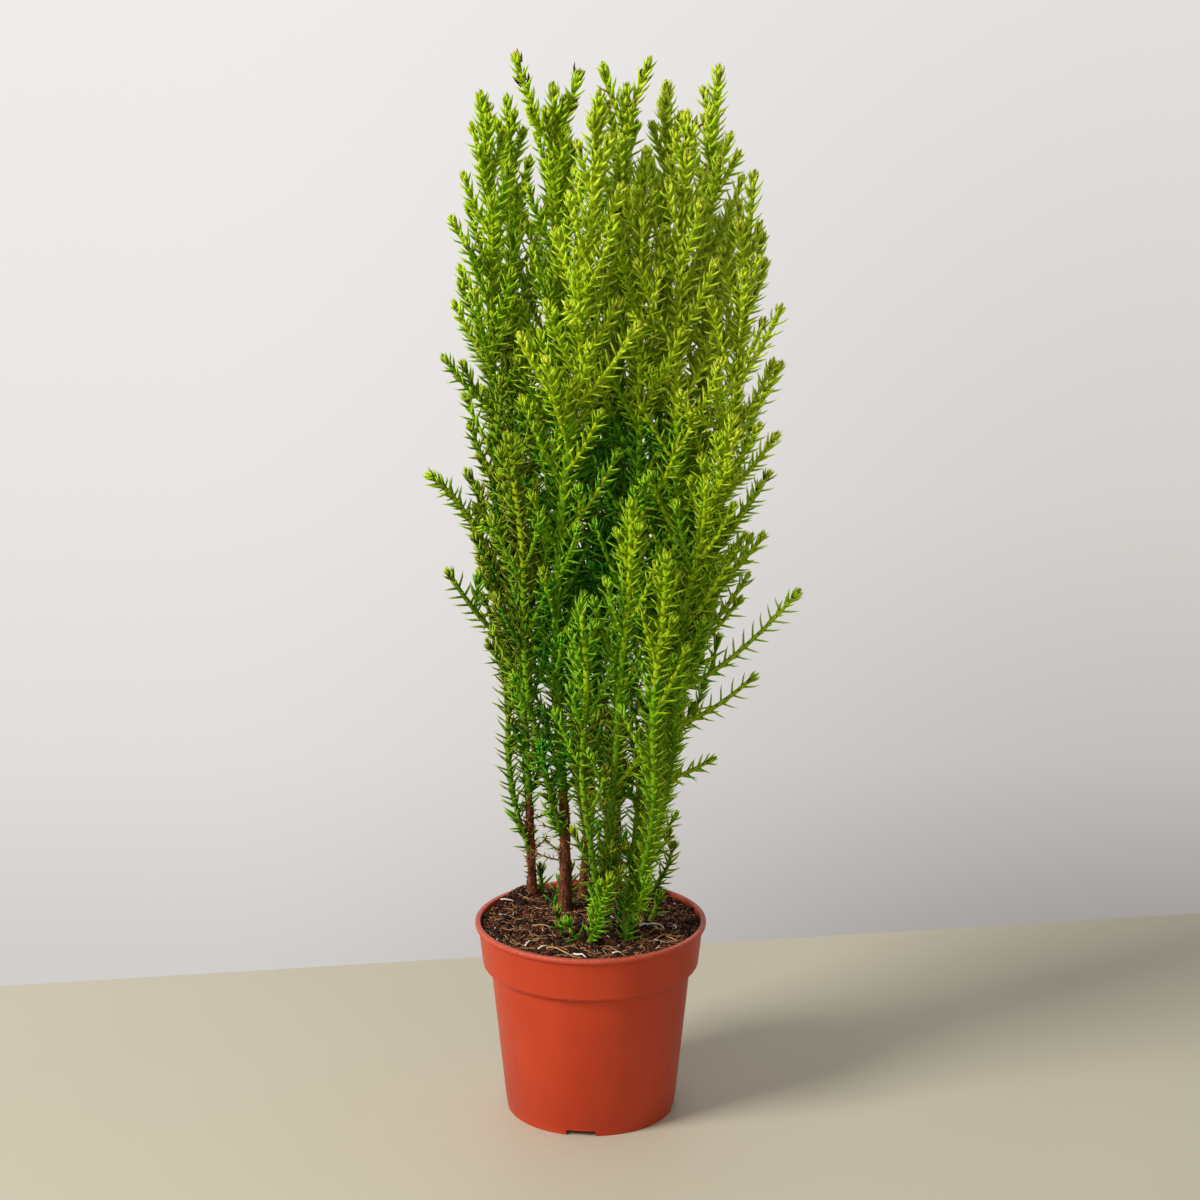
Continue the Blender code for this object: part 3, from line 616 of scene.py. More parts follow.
# Ranges of length, bend and radius of the fibres
fibreSizes = dict(tan=[(0.004, 0.011), (-2.2, 2.2), (0.00010, 0.00020)],
                  pale=[(0.0025, 0.005), (-0.4, 0.4), (0.00018, 0.0003)])
# the ones that catch the eye: where they start, their turn in degrees, length, bend and radius
seenFibres = dict(
    pale=[(-0.0300, -0.0320, 52, 0.0080, 0.3, 0.00042), (-0.0075, -0.0450, -38, 0.0078, 0.1, 0.00050),
          (-0.0430, 0.0255, -28, 0.0075, 0.3, 0.00036), (0.0262, -0.0040, -20, 0.0110, -0.5, 0.00042),
          (0.0225, -0.0085, 12, 0.0055, 0.6, 0.00060), (-0.0240, -0.0360, 20, 0.0060, 0.2, 0.00040),
          (0.0100, -0.0440, 30, 0.0050, -0.4, 0.00036), (0.0400, -0.0100, 100, 0.0060, 0.5, 0.00036)],
    tan=[(0.0350, -0.0200, -80, 0.0120, 1.1, 0.00030), (0.0345, -0.0190, -140, 0.0130, 0.6, 0.00028),
         (-0.0270, -0.0070, 14, 0.0120, -1.5, 0.00034), (-0.0200, -0.0350, -22, 0.0160, -0.5, 0.00040)])


def makeFibres():
    rng = random.Random(f"{seed} fibres")
    reach = innerRadius(soil["bitsZ"]) - soil["fibreInset"]
    runs = dict(tan=[], pale=[])
    for number in range(soil["fibres"] + soil["slivers"]):
        kind = "tan" if number < soil["fibres"] else "pale"
        radius, angle = reach * math.sqrt(rng.random()), rng.uniform(0, 2 * math.pi)
        spot = radius * math.cos(angle), radius * math.sin(angle), rng.uniform(0, 2 * math.pi)
        sizes = [rng.uniform(*limits) for limits in fibreSizes[kind]]
        runs[kind].append(fibreRun(*spot, *sizes, rng))
    for kind, rows in seenFibres.items():
        runs[kind] += [fibreRun(x, y, math.radians(turn), length, bend, radius, rng, fibre["hop"])
                       for x, y, turn, length, bend, radius in rows]
    tanFibre = mottled("fibreTan", (150, 104, 66), (206, 164, 118), 0.0018, 0.85, 0.00004, specular=0.25)
    paleFibre = mottled("sliverPale", (214, 198, 172), (240, 230, 210), 0.0025, 0.8, 0.00004, specular=0.3)
    dress(curveMesh("soilFibres", runs["tan"], 6, tanFibre), ["soil"])
    dress(curveMesh("soilSlivers", runs["pale"], 6, paleFibre), ["soil"])


makeSoilBody()
makeSoilBits()
makeFibres()
print("potting mix made")


# The plant's frame of stems and leaders, by the rule of its solids

soilTop = 0.0893
stemRule = dict(flare=0.45, flareHeight=0.005, taper=0.16, boughShare=0.72, boughTaper=0.25, earlyStart=0.10,
                earlyEnd=0.54, shoulderHeight=0.030, wander=0.0022, wanderTurns=2.6, wanderFull=0.12,
                step=0.004)

Stem = namedtuple("Stem", "name foot tip bare radius sway bow wave green")
stems = [Stem(*row) for row in [
    ("left", (-0.028, 0.034), (-0.048, 0.004, 0.475), 0.050, 0.0020, 0.0, (-0.001, -0.012), 0.0026, False),
    ("centre", (-0.0125, 0.016), (0.004, -0.027, 0.477), 0.056, 0.0022, 0.3, (-0.0096, -0.007), 0.0032,
     False),
    ("back_centre", (-0.004, 0.034), (0.016, 0.007, 0.478), 0.066, 0.0020, 0.0, (0.003, 0.004), 0.0, False),
    ("front", (0.003, -0.017), (0.018, -0.044, 0.303), 0.028, 0.0018, 0.5, (0.0, 0.0), 0.0, True),
    ("front_right", (0.017, -0.020), (0.042, -0.012, 0.468), 0.026, 0.0019, 0.2, (0.004, 0.0), 0.0, True),
    ("right", (0.024, 0.010), (0.072, -0.001, 0.441), 0.046, 0.0020, 0.7, (-0.006, -0.009), 0.0, True),
    ("back_right", (0.025, 0.030), (0.034, 0.021, 0.478), 0.040, 0.0019, 0.0, (0.003, 0.004), 0.0, True),
    ("back", (0.013, 0.039), (0.012, 0.048, 0.446), 0.050, 0.0019, 0.0, (0.0, 0.004), 0.0, False),
    ("front_sprig", (-0.001, -0.027), (0.009, -0.037, 0.128), 0.006, 0.0011, 0.0, (0.001, 0.0), 0.0, True),
    ("right_sprig", (0.028, 0.039), (0.040, 0.034, 0.119), 0.007, 0.0010, 0.0, (0.002, 0.0), 0.0, True),
]]
Side = namedtuple("Side", "name stem fork tip shoulder bend reach")
sides = [Side(*row) for row in [
    ("left_low", "left", 0.026, (-0.073, -0.004, 0.306), 0.25, 6.0, 0.026),
    ("left_back", "left", 0.040, (-0.037, 0.031, 0.471), 0.40, 1.0, 0.022),
    ("crown_left", "back_centre", 0.034, (-0.016, -0.003, 0.479), 0.45, 1.0, 0.022),
    ("front_left", "centre", 0.040, (-0.036, -0.030, 0.330), 0.45, 1.2, 0.024),
    ("back_left", "back_centre", 0.048, (-0.014, 0.044, 0.455), 0.80, 1.0, 0.020),
    ("front_low", "front", 0.011, (-0.004, -0.047, 0.259), 0.45, 1.0, 0.018),
    ("centre_right", "front", 0.013, (0.024, -0.011, 0.448), 0.45, 1.0, 0.017),
    ("front_mid", "front_right", 0.015, (0.033, -0.050, 0.281), 0.55, 1.0, 0.018),
    ("right_front", "front_right", 0.020, (0.063, -0.032, 0.338), 0.35, 2.0, 0.022),
    ("right_tall", "right", 0.028, (0.057, 0.020, 0.485), 0.35, 1.0, 0.020),
    ("right_back", "back_right", 0.030, (0.063, 0.036, 0.424), 0.38, 2.0, 0.022),
    ("back_low", "back_right", 0.020, (0.042, 0.056, 0.318), 0.60, 1.0, 0.020),
    ("far_left", "back", 0.038, (-0.036, 0.056, 0.382), 0.60, 1.1, 0.022),
    ("far_low", "back", 0.022, (0.000, 0.066, 0.288), 0.50, 1.0, 0.020),
]]
# Twigs that reach the outline, by leader: the height each leaves it at, and its tip
longTwigs = dict(
    left=[(0.392, (-0.062, 0.000, 0.422)), (0.333, (-0.066, -0.006, 0.361)), (0.372, (-0.059, 0.010, 0.399)),
          (0.352, (-0.061, -0.002, 0.385))],
    right=[(0.372, (0.077, 0.010, 0.414)), (0.346, (0.085, -0.010, 0.384)), (0.318, (0.086, 0.000, 0.357)),
           (0.297, (0.084, -0.012, 0.327)), (0.277, (0.082, 0.002, 0.307)), (0.251, (0.079, -0.010, 0.281)),
           (0.228, (0.073, 0.004, 0.259)), (0.203, (0.095, -0.012, 0.255)), (0.184, (0.077, 0.000, 0.212)),
           (0.158, (0.058, -0.003, 0.173))],
    left_low=[(0.220, (-0.065, -0.010, 0.264))],
    centre=[(0.332, (-0.031, -0.037, 0.376)), (0.340, (0.022, -0.041, 0.381))],
    crown_left=[(0.446, (-0.033, -0.007, 0.493)), (0.454, (-0.004, 0.001, 0.4855))],
    back_centre=[(0.458, (0.005, 0.007, 0.488)), (0.462, (0.027, 0.010, 0.490))],
    right_tall=[(0.426, (0.066, 0.000, 0.450))])


def wander(phase, share, length):
    turn = stemRule["wanderTurns"] * math.pi * share
    swing = stemRule["wander"] * min(1.0, length / stemRule["wanderFull"]) * math.sin(math.pi * share)
    return Vector((math.sin(turn + phase[0]), math.cos(turn + phase[1]), 0.0)) * swing


def phases(name):
    rng = random.Random(f"{seed} {name}")
    return rng.uniform(0, 2 * math.pi), rng.uniform(0, 2 * math.pi)


def stemAxis(stem):
    foot, tip = Vector((*stem.foot, soilTop)), Vector(stem.tip)
    phase = phases(stem.name)
    count = round((tip.z - foot.z) / stemRule["step"])
    points = []
    for number in range(count + 1):
        share = number / count
        early = smooth((share - stemRule["earlyStart"]) / (stemRule["earlyEnd"] - stemRule["earlyStart"]))
        point = foot.lerp(tip, (1 - stem.sway) * share + stem.sway * early)
        point += Vector((*stem.bow, 0.0)) * math.sin(math.pi * share)
        point.x += stem.wave * math.sin(3 * math.pi * share)
        point.z = foot.z + (tip.z - foot.z) * share
        points.append(point + wander(phase, share, tip.z - foot.z))
    return points


def sideAxis(side, stemPoints):
    root, tip = pointAtHeight(stemPoints, soilTop + side.fork), Vector(side.tip)
    phase = phases(side.name)
    count = round((tip - root).length / stemRule["step"])
    points = []
    for number in range(count + 1):
        share = number / count
        height = share * (tip.z - root.z)
        near = 1 - math.exp(-height / stemRule["shoulderHeight"])
        across = side.shoulder * near + (1 - side.shoulder) * share**side.bend
        point = root.lerp(tip, across)
        point.z = root.z + height
        points.append(point + wander(phase, share, tip.z - root.z))
    return points


def pointAtHeight(points, height):
    for low, high in zip(points, points[1:]):
        if high.z >= height:
            return low.lerp(high, (height - low.z) / (high.z - low.z))
    return points[-1].copy()


def lengthsAlong(points):
    total, sums = 0.0, [0.0]
    for first, second in zip(points, points[1:]):
        total += (second - first).length
        sums.append(total)
    return sums


def pointAlong(points, sums, distance):
    index = min(max(bisect.bisect_left(sums, distance) - 1, 0), len(points) - 2)
    step = points[index + 1] - points[index]
    return points[index] + step * ((distance - sums[index]) / step.length), step.normalized()


def stretch(points, start, end, step):
    sums = lengthsAlong(points)
    count = max(1, round((end - start) / step))
    return [pointAlong(points, sums, start + (end - start) * n / count) for n in range(count + 1)]


def treeOf(points):
    tree = kdtree.KDTree(len(points))
    for index, point in enumerate(points):
        tree.insert(point, index)
    tree.balance()
    return tree


axes, starts, bareLines, stemOf = {}, {}, {}, {}
for stem in stems:
    axis = axes[stem.name] = stemAxis(stem)
    stemOf[stem.name] = stem
    bareLines[stem.name] = [point for point in axis if point.z < soilTop + stem.bare]
    top = [*bareLines[stem.name], pointAtHeight(axis, soilTop + stem.bare)]
    starts[stem.name] = lengthsAlong(top)[-1]
for side in sides:
    axis = axes[side.name] = sideAxis(side, axes[side.stem])
    stemOf[side.name] = stemOf[side.stem]
    starts[side.name] = side.reach
    bareLines[side.name] = [point for point, along in zip(axis, lengthsAlong(axis)) if along < side.reach]
print("leaders laid out:", len(axes))


# Bark on the bare stems and boughs

bark = dict(sides=18, stout=1.12, stouter=dict(centre=1.16), step=0.0012, sunk=0.0035, collar=0.0010,
            forkFlare=0.35, forkReach=0.003, strips=0.00042, stripGrain=(900, 900, 130), scars=0.00016,
            scarEvery=0.0021, scarWave=6, waveGrain=300, scarGrain=500)
greenBoughs = ["left_low", "front_left"]


def barkRuns(leafy):
    # the limbs of the woody stems, or those of the green ones and the boughs that are green from their forks
    runs = []
    for stem in stems:
        if stem.green != leafy:
            continue
        count = round((stem.bare + bark["sunk"]) / bark["step"])
        stout = bark["stouter"].get(stem.name, 1.0)
        points, radii = [], []
        for number in range(count + 1):
            height = -bark["sunk"] + (stem.bare + bark["sunk"] + bark["collar"]) * number / count
            point = pointAtHeight(axes[stem.name], soilTop + max(0.0, height))
            point.z = soilTop + height
            points.append(point)
            rise = max(0.0, height)
            flare = 1 + stemRule["flare"] * math.exp(-rise / stemRule["flareHeight"])
            thick = stem.radius * (1 - stemRule["taper"] * rise / stem.bare)
            radii.append(thick * flare * bark["stout"] * stout)
        runs.append((points, radii))
    for side in sides:
        stem = stemOf[side.name]
        if (stem.green or side.name in greenBoughs) != leafy:
            continue
        stations = stretch(axes[side.name], 0.0, side.reach + bark["collar"], bark["step"])
        thick = stemRule["boughShare"] * stem.radius * (1 - stemRule["taper"] * side.fork / stem.bare)
        last = len(stations) - 1
        radii = []
        for number in range(last + 1):
            flare = 1 + bark["forkFlare"] * math.exp(-number * bark["step"] / bark["forkReach"])
            radii.append(thick * bark["stout"] * (1 - stemRule["boughTaper"] * number / last) * flare)
        runs.append(([place for place, heading in stations], radii))
    return runs


def barkRelief(place):
    # upright flaking strips, and low rings where needles once sat
    strips = noise.fractal(place * Vector(bark["stripGrain"]), 0.8, 2.0, 3)
    wave = bark["scarWave"] * noise.noise(place * bark["waveGrain"])
    ring = math.sin(2 * math.pi * place.z / bark["scarEvery"] + wave)
    return bark["strips"] * strips + bark["scars"] * ring * (0.5 + noise.noise(place * bark["scarGrain"]))


def barkMaterial():
    material, shader = newMaterial("stemBark", 0.85, 0.25)
    strips = noiseOn(material, 0.0012, (1, 1, 6), 5.0, 0.65)
    stops = [(0.28, tint(38, 20, 13)), (0.50, tint(92, 47, 28)), (0.74, tint(142, 86, 54))]
    link(material, rampOn(material, strips, stops), shader.inputs["Base Color"])
    flakes = bumpOn(material, noiseOn(material, 0.0007, (1, 1, 5), 4.0), 0.00018)
    link(material, flakes, shader.inputs["Normal"])
    return material


def makeBark(name, leafy, material):
    limbs = curveMesh(name, barkRuns(leafy), bark["sides"], material)
    moves = [vert.normal * barkRelief(vert.co) for vert in limbs.data.vertices]
    for vert, move in zip(limbs.data.vertices, moves):
        vert.co += move
    nodes = [f"stem_{stem.name}" for stem in stems if stem.green == leafy]
    nodes += [f"bough_{side.name}" for side in sides
              if (stemOf[side.name].green or side.name in greenBoughs) == leafy]
    dress(limbs, nodes)
    print("bark made:", len(limbs.data.polygons), "faces")


makeBark("barkLimbs", False, barkMaterial())
greenBark = mottled("greenBark", (58, 74, 8), (98, 122, 12), 0.0016, 0.75, 0.00014, (1, 1, 4), 0.15)
makeBark("greenLimbs", True, greenBark)


# Foliage: every leader's side twigs, finer twigs on those, and needles in rings on leaders, in pairs on twigs

crown = dict(middleY=0.008, edge=0.001, rows=[
    (0.100, -0.026, 0.031, 0.038), (0.140, -0.037, 0.034, 0.048), (0.190, -0.046, 0.048, 0.058),
    (0.240, -0.051, 0.071, 0.064), (0.300, -0.057, 0.080, 0.066), (0.360, -0.060, 0.084, 0.064),
    (0.420, -0.060, 0.077, 0.058), (0.460, -0.056, 0.063, 0.050), (0.500, -0.040, 0.046, 0.040)])
stoutLeaders = dict(centre=1.35, front=1.1, left_low=0.85, front_sprig=0.60, right_sprig=0.60)
twigRule = dict(step=0.0062, turn=137.5, long=0.043, jitter=(0.66, 1.08), shortest=0.010, shrink=0.88,
                angle=38, tipAngle=25, tipReach=0.16, curl=0.42, taperShare=0.36, taperMore=0.004,
                lowShare=0.45, lowLength=0.110, coreShare=0.74, coreTaper=0.30, leader=0.0016,
                leaderTip=0.0013, stout=0.95, sag=0.07, longCore=0.0013, room=-0.014, clear=0.0040,
                limbRoom=0.001, limbClear=0.0020, thinBelow=0.20, thinShare=0.40, frontY=-0.008,
                facing=-0.45, facingShare=0.50, tipPast=0.0045)
# finer twigs on long ones, and low ones on the bare foot of a green stem
subRule = dict(start=0.038, every=0.0180, first=0.30, ahead=0.72, aside=0.69, long=0.018, jitter=(0.6, 1.1),
               leftShare=0.6, curl=0.2, shortest=0.004, tipPast=0.004, core=0.75, taper=0.4)
lowRule = dict(start=0.013, every=0.0135, ahead=0.62, aside=0.78, long=(0.012, 0.028), curl=0.5,
               tipPast=0.004, lowest=0.006, reach=0.050, clear=0.003, core=0.00075, taper=0.4)
# lists run from the foot of the plant to its top, by the heights given
needleRule = dict(heights=[0.14, 0.26, 0.36, 0.45], length=[0.0080, 0.0078, 0.0076, 0.0074],
                  width=[0.00178, 0.00188, 0.00200, 0.00220], angle=[60, 57, 53, 49],
                  gap=[0.0031, 0.0030, 0.0028, 0.0025], leaderGap=[0.0038, 0.0036, 0.0034, 0.0031],
                  close=dict(front_sprig=0.72), firstGap=0.0022, turn=94, leaderTurn=45, station=0.0028,
                  leaderStation=0.0026, tipLength=0.0052, tipAngle=32, nearTip=0.008, tipShare=0.84,
                  gapShare=0.80, gapSpread=(0.94, 1.06), jitter=5, turnSpread=0.10, spread=0.10,
                  rootShare=0.5, crest=[(4, 38, 1.04), (4, 25, 0.98), (3, 11, 0.88)], crestTurn=0.8,
                  crestRise=0.0008, crestRoot=0.55, crestClose=0.13, crestTurnSpread=0.15,
                  crestSpread=(0.90, 1.06), crestJitter=4)
needleShape = dict(root=0.58, blade=0.42, bladeLength=0.60, thick=0.56, bows=(0.1, 0.5, 1.0))
Shoot = namedtuple("Shoot", "leader rank stations radii seed")


def crownAt(height):
    # the crown's left, right and depth at a height
    rows = crown["rows"]
    for low, high in zip(rows, rows[1:]):
        if height <= high[0] or high is rows[-1]:
            share = (height - low[0]) / (high[0] - low[0])
            return [a + (b - a) * share for a, b in zip(low[1:], high[1:])]


def insideCrown(place):
    left, right, depth = crownAt(place.z)
    across = (place.x - (left + right) / 2) / ((right - left) / 2 - crown["edge"])
    along = (place.y - crown["middleY"]) / (depth - crown["edge"])
    return across * across + along * along < 1


def crownShare(place):
    # 0 on the crown's middle line, 1 on its outline
    left, right, depth = crownAt(place.z)
    across = (place.x - (left + right) / 2) / ((right - left) / 2)
    return min(1.2, math.hypot(across, (place.y - crown["middleY"]) / depth))


class Space:
    def __init__(self, name, lines):
        self.own = treeOf(lines[name])
        self.others = treeOf([p for other, points in lines.items() if other != name for p in points])
        self.limbs = treeOf([p for other, points in bareLines.items() if other != name for p in points])

    def hasRoom(self, place):
        # nearer its own leader than another by the rule's room, and clear of the bare limbs
        nearest = self.others.find(place)[2]
        free = nearest > twigRule["clear"] and nearest - self.own.find(place)[2] > twigRule["room"]
        return free and self.limbs.find(place)[2] > twigRule["limbClear"] + twigRule["limbRoom"]


def squareTo(direction, turn):
    side = direction.cross(Vector((0.0, 1.0, 0.0))).normalized()
    return side * math.cos(turn) + direction.cross(side) * math.sin(turn)


def leaderCore(share):
    return twigRule["leader"] + (twigRule["leaderTip"] - twigRule["leader"]) * share


def byHeight(name, height):
    return float(np.interp(height, needleRule["heights"], needleRule[name]))


def twigLength(distance, total, jitter):
    low = twigRule["lowShare"] + (1 - twigRule["lowShare"]) * min(1.0, distance / twigRule["lowLength"])
    tapering = twigRule["taperShare"] * (total - distance) + twigRule["taperMore"]
    return min(twigRule["long"] * jitter * low, tapering)


def twigPoints(root, heading, length, step, curl):
    count = max(2, round(length / step))
    place, stations = root.copy(), [(root.copy(), heading)]
    for number in range(1, count + 1):
        lift = curl * number / count
        now = (heading * (1 - lift) + up * lift).normalized()
        place = place + now * (length / count)
        stations.append((place.copy(), now))
    return stations


def longTwigPoints(leave, tip, axis, step):
    root, tip = pointAtHeight(axis, leave), Vector(tip)
    length = (tip - root).length
    middle = root.lerp(tip, 0.5) - up * (2 * twigRule["sag"] * length)
    count = round((length - needleRule["tipLength"]) / step)
    stations = []
    for number in range(count + 1):
        share = (1 - needleRule["tipLength"] / length) * number / count
        before, after = root.lerp(middle, share), middle.lerp(tip, share)
        stations.append((before.lerp(after, share), (after - before).normalized()))
    return stations


def thinned(radius, count, taper):
    return [radius * (1 - taper * number / count) for number in range(count)]


def growTwigs(name, axis, start, space):
    rng = random.Random(f"{seed} {name} twigs")
    sums = lengthsAlong(axis)
    total = sums[-1] - start
    firstTurn = rng.uniform(0, 2 * math.pi)
    step = needleRule["station"]
    grown = [(longTwigPoints(*row, axis, step), twigRule["longCore"]) for row in longTwigs.get(name, [])]
    for number in range(int((total - twigRule["shortest"]) / twigRule["step"])):
        jitter = rng.uniform(*twigRule["jitter"])
        distance = twigRule["step"] * (number + 1)
        root, direction = pointAlong(axis, sums, start + distance)
        turn = firstTurn + math.radians(twigRule["turn"]) * number
        low = smooth((total - distance) / twigRule["tipReach"])
        angle = math.radians(twigRule["tipAngle"] + (twigRule["angle"] - twigRule["tipAngle"]) * low)
        heading = direction * math.cos(angle) + squareTo(direction, turn) * math.sin(angle)
        length = twigLength(distance, total, jitter)
        # few twigs low down, and few that would stand in front of a front leader's own stem
        luck = rng.random()
        if root.z < twigRule["thinBelow"] and luck < twigRule["thinShare"]:
            continue
        if root.y < twigRule["frontY"] and heading.y < twigRule["facing"] and luck < twigRule["facingShare"]:
            continue
        while length > twigRule["shortest"]:
            stations = twigPoints(root, heading, length, step, twigRule["curl"])
            tip = stations[-1][0] + stations[-1][1] * twigRule["tipPast"]
            places = [place for place, now in stations[3:]] + [tip]
            if insideCrown(tip) and all(space.hasRoom(spot) for spot in places[::2]):
                grown.append((stations, twigRule["coreShare"] * leaderCore(distance / total)))
                break
            length *= twigRule["shrink"]
    return grown


def growSubTwigs(stations, radius, rng, space):
    # short twigs along the middle of a long one
    step, length = needleRule["station"], needleRule["station"] * (len(stations) - 1)
    count = int((length - subRule["start"]) / subRule["every"]) + 1 if length > subRule["start"] else 0
    turn, grown = rng.uniform(0, 2 * math.pi), []
    for number in range(count):
        index = round((subRule["first"] * length + subRule["every"] * number) / step)
        root, direction = stations[min(index, len(stations) - 4)]
        turn += math.radians(twigRule["turn"])
        heading = direction * subRule["ahead"] + squareTo(direction, turn) * subRule["aside"]
        own = subRule["long"] * rng.uniform(*subRule["jitter"])
        own = min(own, subRule["leftShare"] * (length - index * step))
        twig = twigPoints(root, heading.normalized(), own, step, subRule["curl"])
        tip = twig[-1][0] + twig[-1][1] * subRule["tipPast"]
        if own > subRule["shortest"] and insideCrown(tip) and space.hasRoom(tip):
            grown.append((twig, radius * subRule["core"]))
    return grown


def growLowTwigs(axis, start, rng, space):
    # short leafy twigs on the bare foot of a green stem
    sums, grown = lengthsAlong(axis), []
    turn, distance = rng.uniform(0, 2 * math.pi), lowRule["start"]
    while distance < start:
        root, direction = pointAlong(axis, sums, distance)
        heading = (direction * lowRule["ahead"] + squareTo(direction, turn) * lowRule["aside"]).normalized()
        long = rng.uniform(*lowRule["long"])
        twig = twigPoints(root, heading, long, needleRule["station"], lowRule["curl"])
        tip = twig[-1][0] + twig[-1][1] * lowRule["tipPast"]
        inPot = tip.z > soilTop + lowRule["lowest"] and tip.xy.length < lowRule["reach"]
        if inPot and space.limbs.find(tip)[2] > lowRule["clear"]:
            grown.append((twig, lowRule["core"]))
        turn += math.radians(twigRule["turn"])
        distance += lowRule["every"]
    return grown


shoots = []
lines = {name: list(axis) for name, axis in axes.items()}
for name, rows in longTwigs.items():
    for row in rows:
        lines[name] += [place for place, heading in longTwigPoints(*row, axes[name], stemRule["step"])]
for name, axis in axes.items():
    space = Space(name, lines)
    rng = random.Random(f"{seed} {name} finer")
    total = lengthsAlong(axis)[-1]
    stations = stretch(axis, starts[name], total - needleRule["tipLength"], needleRule["leaderStation"])
    stout = stoutLeaders.get(name, twigRule["stout"])
    radii = [stout * leaderCore(number / (len(stations) - 1)) for number in range(len(stations))]
    shoots.append(Shoot(name, 0, stations, radii, rng.random()))
    for twig, radius in growTwigs(name, axis, starts[name], space):
        shoots.append(Shoot(name, 1, twig, thinned(radius, len(twig), twigRule["coreTaper"]), rng.random()))
        for fine, thin in growSubTwigs(twig, radius, rng, space):
            shoots.append(Shoot(name, 2, fine, thinned(thin, len(fine), subRule["taper"]), rng.random()))
    if stemOf[name].green:
        for twig, radius in growLowTwigs(axis, starts[name], rng, space):
            shoots.append(Shoot(name, 1, twig, thinned(radius, len(twig), lowRule["taper"]), rng.random()))
print("shoots grown:", [sum(shoot.rank == rank for shoot in shoots) for rank in range(3)])

# Needle tones, in families from dark to light: inside the crown, where the emerald tones are painted green
# shade, low down, higher up and at the edge
tones = dict(
    shade=((18, 74, 4), (34, 94, 6)), deep=((36, 96, 4), (56, 116, 6)), leaf=((56, 112, 4), (76, 130, 6)),
    olive=((86, 110, 4), (104, 128, 6)), grass=((68, 124, 5), (90, 142, 8)),
    grassPale=((90, 144, 8), (112, 160, 16)), middle=((100, 128, 4), (118, 148, 8)),
    bright=((118, 152, 5), (136, 172, 10)), fresh=((134, 168, 8), (154, 188, 18)),
    lemon=((154, 186, 18), (180, 208, 42)), emeraldDeep=((16, 80, 8), (30, 98, 12)),
    emerald=((30, 102, 8), (50, 122, 12)), emeraldPale=((56, 122, 6), (80, 142, 10)),
    mossDeep=((42, 56, 4), (60, 74, 6)), moss=((58, 74, 4), (80, 94, 6)),
    mossPale=((80, 94, 4), (100, 112, 8)), dead=((74, 34, 14), (128, 70, 32)),
    dry=((92, 84, 14), (138, 118, 30)), charred=((14, 8, 6), (46, 24, 16)))
toneNames = dict(
    insideShade=["emeraldDeep", "emeraldDeep", "emerald", "emerald", "emeraldPale", "grassPale", "bright"],
    low=["shade", "deep", "leaf", "grass", "grassPale", "bright", "fresh"],
    top=["olive", "middle", "middle", "bright", "bright", "fresh", "lemon"],
    edge=["mossDeep", "mossDeep", "moss", "mossPale", "middle", "bright", "fresh"])
brighter = dict(centre=0.8, front=0.6, front_mid=0.5, front_low=0.4, front_sprig=1.5, right_sprig=-0.4,
                left=-0.2)
# outward paints shade deeper in the crown; across and right paint light on the right side and shade on the
# left
levelRule = dict(middle=2.2, outward=1.5, outwardFrom=0.6, spread=1.1, across=1.9, acrossFrom=-0.05,
                 acrossWidth=0.11, acrossMiddle=0.49, right=1.2, rightFrom=0.005, rightWidth=0.05,
                 rightZ=0.30, rightRise=0.10, lift=3.2, liftFrom=0.14, liftHeight=0.30,
                 needleSpread=0.15, crestSpread=0.2, crestZ=0.40, crestLow=0.3, crestHigh=-0.7)
familyRule = dict(edgeShare=0.60, edgeX=-0.016, edgeSpread=0.02, edgeTop=0.37, footTop=0.20, footShare=0.55,
                  insideShare=0.40, insideSpread=0.35, insideTop=0.33, lowTop=0.29, lowSpread=0.06)


def levelOf(shoot):
    # how light a spray is for its height: lighter outwards, for its own paler outer growth and as painted
    # shade deeper in the crown; lighter to the right and darker to the left as painted light and shade; and
    # lighter on a few leaders
    rule, place = levelRule, shoot.stations[-1][0]
    level = rule["middle"] + rule["outward"] * (crownShare(place) - rule["outwardFrom"])
    level += rule["spread"] * (shoot.seed - 0.5)
    # painted light and shade: lighter towards the right, darker towards the left, and lighter still high on
    # the right
    across = smooth((place.x - rule["acrossFrom"]) / rule["acrossWidth"])
    level += rule["across"] * (across - rule["acrossMiddle"])
    right = smooth((place.x - rule["rightFrom"]) / rule["rightWidth"])
    level += rule["right"] * right * smooth((place.z - rule["rightZ"]) / rule["rightRise"])
    return level + brighter.get(shoot.leader, 0.0)


def liftOf(height):
    # the plant is lighter towards its top: yellower growth there, and painted light that fills the shade
    # among the top's needles
    return levelRule["lift"] * (height - levelRule["liftFrom"]) / levelRule["liftHeight"]


def toneAt(level, family):
    return toneNames[family][min(6, max(0, round(level)))]


def familyOf(shoot, place):
    # moss on the left edge below the top and on half the shoots at the foot, grass green low down, lime above
    rule, out = familyRule, crownShare(place)
    atEdge = out > rule["edgeShare"] and place.x < rule["edgeX"] - rule["edgeSpread"] * shoot.seed
    if shoot.rank < 2 and atEdge and place.z < rule["edgeTop"]:
        return "edge"
    if place.z < rule["footTop"] and shoot.seed < rule["footShare"]:
        return "edge"
    # inside the crown the emerald family paints the green shade among the needles
    if out < rule["insideShare"] + rule["insideSpread"] * shoot.seed and place.z < rule["insideTop"]:
        return "insideShade"
    return "low" if place.z < rule["lowTop"] + rule["lowSpread"] * shoot.seed else "top"


